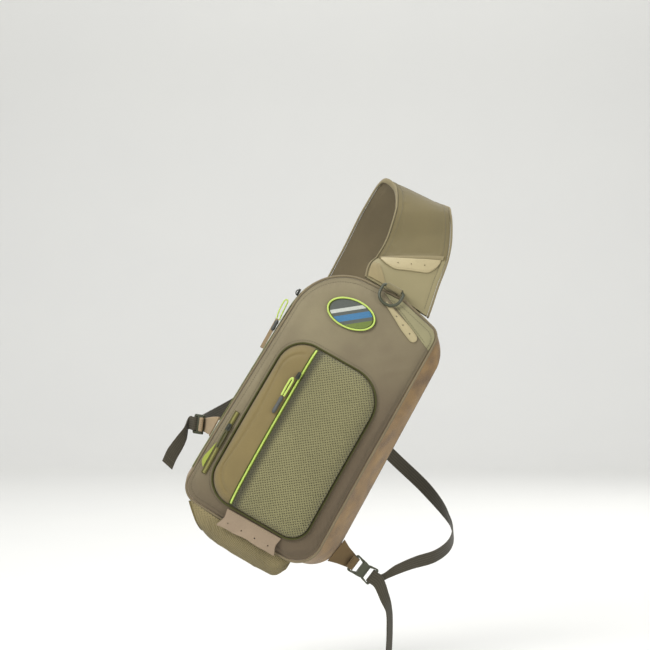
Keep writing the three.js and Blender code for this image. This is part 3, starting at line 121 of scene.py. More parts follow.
SIDE_ZIP = {"x": -93, "z0": 42, "z1": 143, "width": 8, "wall": 1.6, "slider": 118}
BADGE = {"x": -21, "z": 345, "long": 37.5, "short": 22, "turn": math.radians(6), "wall": 2, "rim": 1.3}
CORNER_TRIM = {"from": 0.2, "to": 0.93, "width": 13, "wall": 2, "holes": (0.36, 0.58, 0.8)}
BOTTOM_TRIM = {
    "x0": -38, "x1": 50, "top": 15, "bottom": -12, "flare": 3, "hollow": 3.2, "wavy": 1.5, "curl": 1.1, "wall": 2,
    "holes": (0.12, 0.37, 0.62, 0.87),
}
HOLE_RADIUS = 1.1

# Sleeve under the base: share of the way from the mouth, then drop, half depth, height of its two edges
SLEEVE_DROP = [(0, 34), (0.2, 38), (0.5, 40), (0.8, 40), (0.93, 37), (1, 25)]
SLEEVE_HALF = [(0, 31), (0.2, 32), (0.5, 32), (0.8, 30), (0.93, 25), (1, 15)]
SLEEVE_FRONT = [(0, -2.4), (0.1, -3.6), (0.2, -5.1), (0.5, -7.5), (0.8, -10), (0.93, -9.6), (1, -9.4)]
SLEEVE_REAR = [(0, -4.9), (0.2, -5.5), (0.5, -7.2), (0.8, -9.2), (0.93, -10.1), (1, -10)]
SLEEVE = {"mouth_top": -92, "mouth_bottom": -62, "mouth_rear": 10, "end": 75, "y": -43, "wall": 1.5, "hem": 1.6}

TAB = {"x0": -119.5, "x1": -112.8, "y": -11, "z0": 238, "z1": 287, "wall": 2.6}
RING = {"x": 15, "y": -40, "z": 407, "half": 16.5, "drop": 26, "wire": 2.2, "lean": math.radians(13)}
KEEPER = {"half": 12, "wall": 1.6, "clear": 0.8, "back": -13.2}

# Shoulder strap: centre, width, thickness, direction of the width
STRAP = [
    (-36, -133, -146.5, 104, 8, 0.836, -0.087, -0.541),
    (-25, -116, -114, 102, 9, 0.953, 0, -0.303),
    (-12, -96, -89, 102, 10, 1, 0, 0),
    (-1, -72, -61, 92, 10, 1, 0, 0),
    (7, -38, -16, 77, 10, 0.99, 0, -0.1),
    (4, 0, 5, 78, 10, 0.93, 0, -0.36),
    (-16, 38, 14, 78, 10, 0.86, 0.05, -0.5),
    (-47, 88, -28, 76, 10, 0.86, 0.1, -0.5),
    (-90, 126, -103, 68, 10, 0.86, 0, -0.5),
    (-146, 147, -184, 52, 9, 0.8, 0.05, -0.6),
    (-200, 148, -244, 38, 7, 0.74, 0.1, -0.67),
]
BINDING = {"width": 3.4, "share": 0.42}
STRAP_SEAM = 7  # from the edge of the strap to its seam
STRAP_FOLD_WALL = 1.5
# bare: points of the stitch row without a stitch, at the left end
STRAP_TRIM = {"station": 1.84, "half": 0.87, "tall": 0.76, "wall": 2, "holes": (-0.3, 0.08, 0.46), "bare": 8}
STRAP_TRIM_SHAPE = [
    (-1, 0.15), (-0.73, 0.7), (-0.39, 1), (0, 0.9), (0.49, 0.79), (0.73, 0.72), (0.93, 0.4), (1, 0.12)
]

# Fastenings and webbing; rows of webbing: centre, direction of the width
WEBBING = {"width": 20, "wall": 1.8, "hem": 13, "hem_share": 1.7}
LOCK = {"slot_long": 6.5, "bar": 4.2, "wall": 3.6}
LEFT_SIDE = {
    "at": (-118.7, -21, 104.4), "turn": math.radians(52), "pitch": math.radians(22), "lean": 0,
    "wing": 33.1, "root": 32, "tip": 20.5,
}
RIGHT_SIDE = {
    "at": (123.9, -15.9, 33.5), "turn": math.radians(14), "pitch": math.radians(8), "lean": math.radians(10),
    "wing": 29.7, "root": 40, "tip": 20,
}
WING_WALL = 2.2
FOLD_CLEAR = 0.5
TURN_LEAD = 9
TURN_SPREAD = 1.3
BUCKLE = {"female": 23, "male": 17, "bar": 4}
MAIN_WEBBING_REAR = [
    (-182, 142, -225, 0.76, 0.08, -0.65),
    (-206, 142, -251, 0.74, 0.1, -0.67),
    (-235, 137, -279, 0.68, 0.15, -0.72),
    (-276, 116, -307, 0.5, 0.2, -0.84),
    (-318, 66, -330, 0.3, 0.1, -0.95),
    (-339, 6, -340, 0.3, 0.1, -0.95),
]
MAIN_TAIL = [
    (-348, -93, -348, 0.15, 0, -0.99),
    (-356, -98, -361, 0.45, 0, -0.89),
    (-367, -104, -378, 0.7, 0, -0.71),
    (-374, -106, -394, 0.74, 0, -0.67),
]
STABILISER_TAIL = [
    (-48.5, -137, -679, 0.44, 0.9, 0),
    (-46.5, -137, -635, 0.44, 0.9, 0),
    (-47.5, -139, -604, 0.44, 0.88, 0.15),
    (-54, -142, -584, 0.55, 0.55, 0.62),
]
STABILISER_REAR = [
    (-42, -131, -548, 0.4, 0, 0.92),
    (-12, -119, -537, 0.28, 0.05, 0.96),
    (22, -95, -529, 0.15, 0.1, 0.98),
    (48, -45, -513, 0, 0.1, 0.99),
    (50, 35, -486, -0.15, 0.2, 0.96),
    (18, 105, -444, 0.5, -0.1, 0.8),
    (-42, 145, -387, 0.69, 0, 0.67),
    (-106, 158, -317, 0.77, 0, 0.64),
    (-148, 156, -259, 0.83, 0, 0.55),
    (-168, 154.6, -224, 0.87, 0, 0.5),
]

# Pulls: a doubled cord and a grip
GRIP_RADIUS = 3.1
POCKET_PULL = {"x": -45.5, "top": 224, "end": 195, "half": 2.2, "cord": 1.5}
MAIN_PULL = {"x": -112, "y": -35, "top": 318, "end": 286, "half": 2.9, "cord": 1.1, "lift": 2.5, "rise": 14}
SIDE_PULL = {"x": -93, "top": 111.5, "end": 84, "half": 2, "cord": 1.2}
# Bridge on the back of a slider
BRIDGE = {"shift": 0.3, "half": 3.6, "foot": 2.7, "rise": 2.1, "wire": 0.8}
# Half of a doubled cord: way up from its end, or below 0 down from its top; share of its half width
PULL_LOOP = [(0.4, 0.8), (9, 0.95), (-9.5, 1), (-2.5, 0.8)]


def unit(vectors):
    """Vectors at length one."""
    vectors = np.asarray(vectors, float)
    return vectors / np.maximum(np.linalg.norm(vectors, axis=-1, keepdims=True), 1e-12)


def square_to(vectors, way):
    """Directions nearest to the vectors that stand square to a way."""
    vectors = np.broadcast_to(vectors, way.shape)
    return unit(vectors - way * (vectors * way).sum(-1, keepdims=True))


def between(rows, at, keys=None, **wrap):
    """Rows of a table at places between them."""
    rows = np.asarray(rows, float)
    keys = np.arange(len(rows)) if keys is None else keys
    return np.stack([np.interp(at, keys, column, **wrap) for column in rows.T], -1)


def world(points):
    """Points of the bag frame in the part's frame, in millimetres."""
    return np.asarray(points, float) @ BAG_TURN.T + BAG_ORIGIN


def smooth(table, at):
    """Value between the rows of a two-column table, on a smooth curve through them."""
    keys, values = np.array(table, float).T
    at = np.clip(np.asarray(at, float), keys[0], keys[-1])
    before = np.maximum(np.arange(len(keys)) - 1, 0)
    after = np.minimum(np.arange(len(keys)) + 1, len(keys) - 1)
    slopes = (values[after] - values[before]) / (keys[after] - keys[before])
    i = np.clip(np.searchsorted(keys, at) - 1, 0, len(keys) - 2)
    span = keys[i + 1] - keys[i]
    t = (at - keys[i]) / span
    bend = t * (1 - t) * ((1 - t) * slopes[i] - t * slopes[i + 1]) * span
    return values[i] + (values[i + 1] - values[i]) * t * t * (3 - 2 * t) + bend


def ridge(distance, width):
    """Soft hump of height one, about as wide on each side as the width."""
    return np.exp(-((distance / width) ** 2))


def outline(corners, count):
    """Points spaced evenly along a closed outline with round corners."""
    rows = np.array(corners, float)
    arcs = []
    for index, (x, z, radius) in enumerate(rows):
        corner = np.array((x, z))
        back = unit(rows[index - 1, :2] - corner)
        on = unit(rows[(index + 1) % len(rows), :2] - corner)
        half = math.acos(np.clip(back @ on, -1, 1)) / 2
        centre = corner + unit(back + on) * radius / math.sin(half)
        start = corner + back * radius / math.tan(half) - centre
        end = corner + on * radius / math.tan(half) - centre
        first = math.atan2(start[1], start[0])
        sweep = (math.atan2(end[1], end[0]) - first) % (2 * math.pi)
        angles = first + np.linspace(0, sweep, 33)
        arcs.append(centre + radius * np.stack((np.cos(angles), np.sin(angles)), 1))
    points = np.concatenate(arcs + [arcs[0][:1]])
    along = along_length(points)
    return between(points, np.arange(count) / count * along[-1], along)


def outward(points):
    """Outward directions of a closed anticlockwise outline."""
    tangent = unit(np.roll(points, -1, 0) - np.roll(points, 1, 0))
    return np.stack((tangent[:, 1], -tangent[:, 0]), 1)


def spline(points, places):
    """Centripetal curve through points: its places and tangents, one unit of place to a stretch."""
    points = np.array(points, float)
    padded = np.concatenate((2 * points[:1] - points[1:2], points, 2 * points[-1:] - points[-2:-1]))
    i = np.clip(np.floor(places).astype(int), 0, len(points) - 2)
    w = (np.asarray(places, float) - i)[:, None]
    p0, p1, p2, p3 = (padded[i + k] for k in range(4))
    d0, d1, d2 = (np.sqrt(np.linalg.norm(b - a, axis=1))[:, None] for a, b in ((p0, p1), (p1, p2), (p2, p3)))
    t1 = ((p1 - p0) / d0 - (p2 - p0) / (d0 + d1) + (p2 - p1) / d1) * d1
    t2 = ((p2 - p1) / d1 - (p3 - p1) / (d1 + d2) + (p3 - p2) / d2) * d1
    c2 = 3 * (p2 - p1) - 2 * t1 - t2
    c3 = 2 * (p1 - p2) + t1 + t2
    return p1 + w * (t1 + w * (c2 + w * c3)), unit(t1 + w * (2 * c2 + 3 * w * c3))


def station_frames(stations, places):
    """Centre, direction of the width and outward direction at places along a table of stations."""
    centre, tangent = spline([row[:3] for row in stations], places)
    across = unit(between([row[-3:] for row in stations], places))
    return centre, across, unit(np.cross(across, tangent))


def swept(centre, across, out, section):
    """Points of a section (offsets across and out) carried along frames."""
    section = np.asarray(section, float)
    if section.ndim == 2:
        section = np.broadcast_to(section, (len(centre),) + section.shape)
    return centre[:, None] + across[:, None] * section[..., :1] + out[:, None] * section[..., 1:]


def round_section(radius, sides):
    angle = np.arange(sides) / sides * 2 * math.pi
    return radius * np.stack((np.cos(angle), np.sin(angle)), 1)


def band_section(width, wall, sides=4):
    """Flat section with round edges, and points across it for its soft middle."""
    turn = np.linspace(-math.pi / 2, math.pi / 2, sides + 1)
    edge = np.stack((np.cos(turn), np.sin(turn)), 1) * wall / 2
    right = edge + (width / 2 - wall / 2, 0)
    middle = np.linspace(width / 2 - wall, -width / 2 + wall, 7)
    top = np.stack((middle, np.full(7, wall / 2)), 1)
    return np.concatenate((right, top, -right, -top))


def along_length(points):
    """Distance along a row of points."""
    steps = np.linalg.norm(np.diff(points, axis=0), axis=1)
    return np.concatenate(((0,), np.cumsum(steps)))


# Meshes


def make_object(name, points, faces, uv, material):
    """Mesh object from points in millimetres; uv has one row for each corner of each face, in metres."""
    mesh = bpy.data.meshes.new(name)
    mesh.from_pydata((np.asarray(points) * MM).tolist(), [], np.asarray(faces).tolist())
    layer = mesh.uv_layers.new(name="cloth")
    layer.data.foreach_set("uv", (np.asarray(uv, float) * MM).astype(np.float32).ravel())
    mesh.polygons.foreach_set("use_smooth", [True] * len(mesh.polygons))
    mesh.materials.append(material)
    made = bpy.data.objects.new(name, mesh)
    bpy.context.scene.collection.objects.link(made)
    return made


def clean(made, sharp=55):
    """Welds equal points, drops what collapses, turns faces out and marks sharp edges."""
    shape = bmesh.new()
    shape.from_mesh(made.data)
    bmesh.ops.remove_doubles(shape, verts=shape.verts, dist=1e-7)
    bmesh.ops.delete(shape, geom=[edge for edge in shape.edges if not edge.link_faces], context="EDGES")
    bmesh.ops.delete(shape, geom=[vert for vert in shape.verts if not vert.link_faces], context="VERTS")
    bmesh.ops.recalc_face_normals(shape, faces=shape.faces)
    shape.to_mesh(made.data)
    shape.free()
    made.data.set_sharp_from_angle(angle=math.radians(sharp))
    return made


def lofted(name, sections, uv, material, loop=False, sharp=55):
    """Closed solid through closed sections, rows of points; uv has one more column, and row if it loops."""
    sections = np.asarray(sections, float)
    rows, sides = sections.shape[:2]
    i, k = np.meshgrid(np.arange(rows if loop else rows - 1), np.arange(sides), indexing="ij")
    i, k = i.ravel(), k.ravel()
    corners = ((i, k), (i + 1, k), (i + 1, k + 1), (i, k + 1))
    faces = np.stack([(a % rows) * sides + b % sides for a, b in corners], 1)
    uvs = np.stack([uv[a, b] for a, b in corners], 1)
    if not loop:
        j = np.arange(sides // 2 - 1)
        for row, order in ((0, 1), (rows - 1, -1)):
            ends = (j, j + 1, sides - 2 - j, sides - 1 - j)[::order]
            faces = np.concatenate((faces, np.stack([row * sides + end for end in ends], 1)))
            uvs = np.concatenate((uvs, np.stack([uv[row, end] for end in ends], 1)))
    return clean(make_object(name, sections.reshape(-1, 3), faces, uvs.reshape(-1, 2), material), sharp)


def walled(name, outer, inner, uv, material, loop=False, sharp=55):
    """Closed wall between two grids of points."""
    sections = np.concatenate((outer, inner[:, ::-1]), 1)
    full = np.concatenate((uv, uv[:, ::-1], uv[:, :1]), 1)
    if loop:
        full = np.concatenate((full, full[:1]))
    return lofted(name, sections, full, material, loop, sharp)


def tube(name, centre, across, out, section, material, loop=False, sharp=55):
    """Section carried along frames, with its cloth laid along the length and round the section."""
    points = swept(centre, across, out, section)
    rows, sides = points.shape[:2]
    line = np.concatenate((centre, centre[:1])) if loop else centre
    girth = np.linalg.norm(np.roll(points[0], -1, 0) - points[0], axis=1)
    round_it = np.concatenate(((0,), np.cumsum(girth)))
    uv = np.stack(np.meshgrid(round_it, along_length(line)), -1)
    return lofted(name, points, uv, material, loop, sharp)


def bead_frames(points):
    """Frames along a closed row of points that faces the front of the bag."""
    tangent = unit(np.roll(points, -1, 0) - np.roll(points, 1, 0))
    out = square_to(FRONT, tangent)
    return points, np.cross(tangent, out), out


def halves(made, name, point, normal, material):
    """Cuts a closed solid by a plane: the piece keeps what lies behind it, and a new one what lies beyond."""
    other = made.copy()
    other.data = made.data.copy()
    other.name = name
    bpy.context.scene.collection.objects.link(other)
    other.data.materials[0] = material
    for piece, sign in ((made, 1), (other, -1)):
        shape = bmesh.new()
        shape.from_mesh(piece.data)
        place = (np.asarray(point) - sign * np.asarray(normal) * CLEAR / 2) * MM
        everything = shape.verts[:] + shape.edges[:] + shape.faces[:]
        bmesh.ops.bisect_plane(
            shape, geom=everything, dist=1e-7, plane_co=place.tolist(),
            plane_no=(sign * np.asarray(normal)).tolist(), clear_outer=True,
        )
        bmesh.ops.edgeloop_fill(shape, edges=[edge for edge in shape.edges if len(edge.link_faces) == 1])
        bmesh.ops.recalc_face_normals(shape, faces=shape.faces)
        shape.to_mesh(piece.data)
        shape.free()
        piece.data.set_sharp_from_angle(angle=math.radians(55))
    return other


def copies(name, template, faces, centre, along, out, size, material):
    """One mesh of many small copies of a template, whose axes are along, across and out."""
    template = np.asarray(template, float) * size
    side = np.cross(out, along)
    points = (
        centre[:, None]
        + along[:, None] * template[None, :, :1]
        + side[:, None] * template[None, :, 1:2]
        + out[:, None] * template[None, :, 2:]
    )
    every = (np.asarray(faces)[None] + len(template) * np.arange(len(centre))[:, None, None]).reshape(-1, 4)
    flat = np.concatenate([template[:, :2]] * len(centre))
    return make_object(name, points.reshape(-1, 3), every, flat[every].reshape(-1, 2), material)


def capsule(rings=5, sides=6):
    """Rounded stick of length and thickness one, as points and four-sided faces."""
    turn = np.linspace(0.12, math.pi - 0.12, rings)
    angle = np.arange(sides) / sides * 2 * math.pi
    along = -np.cos(turn)[:, None] / 2
    radius = np.sin(turn)[:, None] ** 0.6 / 2
    points = np.stack(np.broadcast_arrays(along, radius * np.cos(angle), radius * np.sin(angle)), -1)
    faces = [
        (r * sides + k, r * sides + (k + 1) % sides, (r + 1) * sides + (k + 1) % sides, (r + 1) * sides + k)
        for r in range(rings - 1)
        for k in range(sides)
    ]
    for first in (0, (rings - 1) * sides):
        for k in range(sides // 2 - 1):
            faces.append((first + k, first + k + 1, first + sides - 2 - k, first + sides - 1 - k))
    return points.reshape(-1, 3), np.array(faces)


STICK = capsule()
# Stitches: pitch, length, thickness
SEAM_STITCH = (3.6, 2.7, 0.75)
BAND_STITCH = (3, 2.3, 0.6)
LEATHER_STITCH = (3, 2.2, 0.6)
LEATHER_LIFT = 0.05


def sampled(points, pitch):
    """Places spaced evenly along a row of points, with their directions, and where they fall in the row."""
    along = along_length(points)
    count = max(2, int(along[-1] / pitch))
    at = (np.arange(count) + 0.5) * along[-1] / count
    where = np.interp(at, along, np.arange(len(points)))
    way = unit(between(points, at + 0.5, along) - between(points, at - 0.5, along))
    return between(points, at, along), way, where


def sticks(name, line, out, material, pitch, long, thick, across=None):
    """Small rounded sticks along a line, as stitches lie, or lying across it, as teeth of a zip do."""
    place, way, where = sampled(line, pitch)
    if across is not None:
        way = square_to(between(np.broadcast_to(across, line.shape), where), way)
    up = square_to(between(np.broadcast_to(out, line.shape), where), way)
    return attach(copies(name, *STICK, place, way, up, (long, thick, thick), material), "bag")


def sewn(name, made, points, material, lift=0.15, size=SEAM_STITCH):
    """Row of stitches on the nearest places of a piece's surface."""
    faces = [tuple(face.vertices) for face in made.data.polygons]
    tree = BVHTree.FromPolygons([vert.co for vert in made.data.vertices], faces)
    hits = [tree.find_nearest((point * MM).tolist()) for point in points]
    out = np.array([hit[1] for hit in hits])
    return sticks(name, np.array([hit[0] for hit in hits]) / MM + out * lift, out, material, *size)


CLOTH_SETTINGS = {
    "vertex_group_mass": "held", "quality": 5, "mass": 0.15, "tension_stiffness": 12, "compression_stiffness": 12,
    "bending_stiffness": 0.8,
}


def relaxed(points, pins, loop, pressure=0.0, slack=0.0, gravity=0.0, cap=3.0, steps=18):
    """Lets a grid of cloth settle: it is held where pins is one, swells by pressure and sags by gravity."""
    rows, sides = points.shape[:2]
    i, k = np.meshgrid(np.arange(rows if loop else rows - 1), np.arange(sides - 1), indexing="ij")
    corners = ((i, k), (i + 1, k), (i + 1, k + 1), (i, k + 1))
    faces = np.stack([((a % rows) * sides + b).ravel() for a, b in corners], 1)
    mesh = bpy.data.meshes.new("settling")
    mesh.from_pydata((points.reshape(-1, 3) * MM).tolist(), [], faces.tolist())
    cloth = bpy.data.objects.new("settling", mesh)
    scene = bpy.context.scene
    scene.collection.objects.link(cloth)
    held = cloth.vertex_groups.new(name="held")
    for index in np.flatnonzero(np.asarray(pins).ravel() > 0):
        held.add([int(index)], float(pins.ravel()[index]), "REPLACE")
    settle = cloth.modifiers.new("settle", "CLOTH")
    settings = {**CLOTH_SETTINGS, "shrink_min": -slack}
    settings.update(use_pressure=pressure != 0, uniform_pressure_force=pressure)
    for key, value in settings.items():
        setattr(settle.settings, key, value)
    settle.settings.effector_weights.gravity = gravity
    settle.collision_settings.use_collision = False
    settle.point_cache.frame_end = steps
    for step in range(1, steps + 1):
        scene.frame_set(step)
    moved = np.empty(len(mesh.vertices) * 3, np.float32)
    cloth.evaluated_get(bpy.context.evaluated_depsgraph_get()).data.vertices.foreach_get("co", moved)
    bpy.data.objects.remove(cloth)
    bpy.data.meshes.remove(mesh)
    scene.frame_set(1)
    shift = moved.astype(float).reshape(points.shape) / MM - points
    far = np.linalg.norm(shift, axis=-1, keepdims=True)
    return points + shift * np.minimum(1, cap / np.maximum(far, 1e-9))


# Materials


def fill(tree, node, inputs):
    """Links what is given to a node's inputs, and sets the constants."""
    for key, value in dict(inputs).items():
        if isinstance(value, bpy.types.NodeSocket):
            tree.links.new(value, node.inputs[key])
        else:
            node.inputs[key].default_value = value
    return node


def add_node(tree, kind, inputs=(), **settings):
    """Shader node with its settings, its constants and what is linked to it."""
    node = tree.nodes.new("ShaderNode" + kind)
    for key, value in settings.items():
        setattr(node, key, value)
    return fill(tree, node, inputs)


# Share of each seen colour that is the cloth's own, the rest being the studio's light
LIT_SHARE = np.array((0.76, 0.755, 0.69))


def linear(colour, share=1.0):
    """Shader colour from 0 to 255 screen values, made lighter or darker by a share."""
    values = np.array(colour, float) / 255
    values = np.where(values < 0.04045, values / 12.92, ((values + 0.055) / 1.055) ** 2.4)
    return (*np.clip(values * share * LIT_SHARE, 0, 1), 1.0)


def math_node(tree, operation, first, second=0.5, third=0.5):
    return add_node(tree, "Math", {0: first, 1: second, 2: third}, operation=operation).outputs[0]


def mixed(tree, share, first, second):
    return add_node(tree, "Mix", {0: share, 6: first, 7: second}, data_type="RGBA").outputs[2]


def noise(tree, where, scale, detail=3.0):
    inputs = {"Vector": where, "Scale": scale, "Detail": detail}
    return add_node(tree, "TexNoise", inputs).outputs["Fac"]


def ranged(tree, value, *limits):
    """Value mapped from a low and a high limit to two others, or to 0 and 1."""
    return add_node(tree, "MapRange", {index: limit for index, limit in enumerate((value, *limits))}).outputs[0]


def wave_bands(tree, where, pitch, way="X", **inputs):
    """Soft bands of a pitch in millimetres."""
    inputs = {"Vector": where, "Scale": 0.1 * math.pi / (pitch * MM), **inputs}
    return add_node(tree, "TexWave", inputs, bands_direction=way).outputs["Fac"]


def rotated(tree, where, turn):
    return add_node(tree, "Mapping", {"Vector": where, "Rotation": (0, 0, turn)}).outputs[0]


def started(name):
    """New node material, its tree and the cloth and object coordinates."""
    material = bpy.data.materials.new(name)
    material.use_nodes = True
    tree = material.node_tree
    cloth = add_node(tree, "UVMap", uv_map="cloth").outputs["UV"]
    return material, tree, cloth, add_node(tree, "TexCoord").outputs["Object"]


def finished(material, colour, rough, height=None, strength=0.0, distance=0.0, **constants):
    """Gives a material its colour, roughness and relief (distance in millimetres), and constants by name."""
    tree = material.node_tree
    inputs = {"Base Color": colour, "Roughness": rough}
    if height is not None:
        bump = {"Height": height, "Strength": strength, "Distance": distance * MM}
        inputs["Normal"] = add_node(tree, "Bump", bump).outputs[0]
    inputs.update({name.replace("_", " "): value for name, value in constants.items()})
    fill(tree, tree.nodes["Principled BSDF"], inputs)
    return material


def weave_height(tree, where, pitch):
    """Threads that pass over and under each other: height, and how near to a gap between them."""
    warp, weft = (wave_bands(tree, where, pitch, way) for way in "XY")
    over = add_node(tree, "TexChecker", {"Vector": where, "Scale": 1 / (pitch * MM)}).outputs["Fac"]
    height = add_node(tree, "Mix", {0: over, 2: warp, 3: weft}).outputs[0]
    low_warp, low_weft = (math_node(tree, "SUBTRACT", 1.0, threads) for threads in (warp, weft))
    return height, math_node(tree, "MULTIPLY", low_warp, low_weft)


def fabric(
    name, colour, pitch, shade=None, relief=0.35, mottle=0.16, gaps=0.0, rough=0.88, sheen=0.1, nap=0.0, turn=0.0,
    fade=None, patch=14.0,
):
    """Cloth: a weave of a real pitch, its fibres, uneven dye and wear, painted highlight on its raised threads, and
    gaps where it is open, painted dark as shade of the inside seen through them.

    The weave may be turned. Patch sets the size of the patches of dye. A fade is a direction in the cloth,
    where it is full, where it ends, its colour and its strength.
    """
    material, tree, flat, place = started(name)
    cloth = rotated(tree, flat, turn) if turn else flat
    wander = add_node(tree, "TexNoise", {"Vector": place, "Scale": 90.0, "Detail": 2.0}).outputs["Color"]
    pull = add_node(tree, "VectorMath", {0: wander, 1: (0.5, 0.5, 0.5)}, operation="SUBTRACT").outputs[0]
    scaled = add_node(tree, "VectorMath", {0: pull, "Scale": 0.35 * pitch * MM}, operation="SCALE").outputs[0]
    where = add_node(tree, "VectorMath", {0: cloth, 1: scaled}, operation="ADD").outputs[0]
    height, gap = weave_height(tree, where, pitch)
    broad = noise(tree, place, patch, 4.0)
    fine = noise(tree, place, 900.0, 2.0)
    dark = linear(shade or colour, 1 - 1.6 * mottle)
    light = linear(colour, 1 + mottle)
    dye = mixed(tree, ranged(tree, broad, 0.3, 0.7), dark, light)
    # painted highlight: the raised threads of the weave are lightened
    thread = mixed(tree, math_node(tree, "MULTIPLY", height, 0.35), dye, linear(colour, 1.25))
    fibre = mixed(tree, math_node(tree, "MULTIPLY", fine, 0.3), thread, linear(colour, 0.6))
    # painted shade: the open gaps are darkened nearly to black, standing for the dark inside seen through them
    if gaps:
        open_share = ranged(tree, gap, 0.45, 0.8, 0.0, gaps)
        fibre = mixed(tree, open_share, fibre, linear(colour, 0.12))
        height = math_node(tree, "SUBTRACT", height, open_share)
    if fade:
        way, full, end, tone, strength = fade
        along = add_node(tree, "VectorMath", {0: flat, 1: (*way, 0)}, operation="DOT_PRODUCT").outputs["Value"]
        limits = {0: along, 1: full * MM, 2: end * MM, 3: strength, 4: 0.0}
        share = add_node(tree, "MapRange", limits, interpolation_type="SMOOTHSTEP").outputs[0]
        fibre = mixed(tree, share, fibre, linear(tone))
    worn = ranged(tree, broad, 0.25, 0.75, rough - 0.08, min(1, rough + 0.06))
    depth = math_node(tree, "MULTIPLY_ADD", fine, 0.4 + nap, height)
    return finished(
        material, fibre, worn, depth, relief, 0.25 * pitch,
        Sheen_Weight=sheen, Sheen_Roughness=0.5, Specular_IOR_Level=0.25,
    )


def leather(name, colour):
    """Pale leather: fine pebbled grain, pores, uneven dye."""
    material, tree, _, place = started(name)
    cell = add_node(tree, "TexVoronoi", {"Vector": place, "Scale": 850.0}, feature="SMOOTH_F1").outputs["Distance"]
    broad = noise(tree, place, 30.0, 4.0)
    fine = noise(tree, place, 420.0, 4.0)
    dye = mixed(tree, broad, linear(colour, 0.82), linear(colour, 1.12))
    grain = mixed(tree, math_node(tree, "MULTIPLY", fine, 0.5), dye, linear(colour, 0.72))
    depth = math_node(tree, "MULTIPLY_ADD", fine, 0.6, cell)
    rough = ranged(tree, fine, 0.0, 1.0, 0.5, 0.75)
    return finished(material, grain, rough, depth, 0.35, 0.4, Specular_IOR_Level=0.35)


def hard(name, colour, rough=0.42, metal=0.0):
    """Moulded plastic or coated metal: faint texture, scuffs and uneven gloss."""
    material, tree, _, place = started(name)
    broad = noise(tree, place, 45.0, 5.0)
    fine = noise(tree, place, 1400.0, 2.0)
    scuffed = math_node(tree, "MULTIPLY", ranged(tree, broad, 0.55, 0.8), 0.35)
    tone = mixed(tree, scuffed, linear(colour), linear(colour, 1.9))
    gloss = ranged(tree, broad, 0.3, 0.75, rough - 0.1, rough + 0.15)
    return finished(material, tone, gloss, fine, 0.18, 0.2, Metallic=metal)


def strands(name, colour, pitch, slant=1.0, relief=0.5, rough=0.6, ribs=0.0):
    """Braid, thread or ribbed webbing: slanting strands that cross, at a real pitch, with painted shade between them.
    """
    material, tree, cloth, place = started(name)
    heights = [wave_bands(tree, rotated(tree, cloth, turn), pitch) for turn in (slant, -slant)]
    height = math_node(tree, "MAXIMUM", *heights)
    if ribs:
        height = math_node(tree, "MULTIPLY", height, wave_bands(tree, cloth, pitch / ribs))
    broad = noise(tree, place, 35.0, 4.0)
    fine = noise(tree, place, 1100.0, 2.0)
    dye = mixed(tree, broad, linear(colour, 0.78), linear(colour, 1.15))
    # painted shade: the low places between the strands are darkened to half the colour
    lit = mixed(tree, height, linear(colour, 0.5), dye)
    worn = ranged(tree, fine, 0.0, 1.0, rough - 0.08, min(1, rough + 0.12))
    depth = math_node(tree, "MULTIPLY_ADD", fine, 0.25, height)
    return finished(material, lit, worn, depth, relief, 0.3 * pitch, Sheen_Weight=0.15)


def embroidery(name, stripes, thread):
    """Sewn field of slanting stripes: colours with the place, from 0 to 1, where each begins."""
    material, tree, cloth, place = started(name)
    across = add_node(tree, "SeparateXYZ", {0: rotated(tree, cloth, math.radians(58))}).outputs[0]
    span = BADGE["long"] * MM
    ramp = add_node(tree, "ValToRGB", {0: ranged(tree, across, -span, span)})
    ramp.color_ramp.interpolation = "CONSTANT"
    for index, (start, colour) in enumerate(stripes):
        stop = ramp.color_ramp.elements[0] if index == 0 else ramp.color_ramp.elements.new(start)
        stop.position = start
        stop.color = linear(colour)
    ramp.color_ramp.elements.remove(ramp.color_ramp.elements[-1])
    wave = wave_bands(tree, cloth, thread, Distortion=1.5)
    fine = noise(tree, place, 700.0, 3.0)
    lit = mixed(tree, math_node(tree, "MULTIPLY", fine, 0.45), ramp.outputs[0], linear((40, 44, 40)))
    depth = math_node(tree, "MULTIPLY_ADD", fine, 0.4, wave)
    return finished(material, lit, ranged(tree, fine, 0.0, 1.0, 0.45, 0.7), depth, 0.4, 0.3)


# painted shade: the front cloth darkens towards its lower right, where the front turns away from the key light, and
# is lighter towards its upper left
FRONT_CLOTH = fabric(
    "front_cloth", (150, 140, 116), 1.1, shade=(136, 124, 104), mottle=0.08,
    fade=((-1.6, 1), 0, 370, (106, 92, 77), 0.92),
)
BAND_CLOTH = fabric("band_cloth", (140, 128, 108), 1.1, mottle=0.1)
CORNER_CLOTH = fabric("corner_cloth", (164, 158, 126), 1.1, mottle=0.1)
GUSSET_CLOTH = fabric(
    "gusset_cloth", (162, 132, 92), 0.8, shade=(136, 113, 96), mottle=0.18, nap=0.8, sheen=0.2, patch=42.0
)
POCKET_SHELL = fabric("pocket_shell", (140, 124, 86), 0.8, mottle=0.1, nap=0.5, relief=0.25)
# painted shade: the weave darkens in a band beside the zip, where it dips into the groove along it; its open gaps are
# painted dark as shade too
POCKET_WEAVE = fabric(
    "pocket_weave", (152, 147, 110), 3.4, gaps=0.9, relief=0.9, mottle=0.08, turn=math.radians(-37),
    fade=((1, 0), -31, -19, (72, 70, 58), 0.85),
)
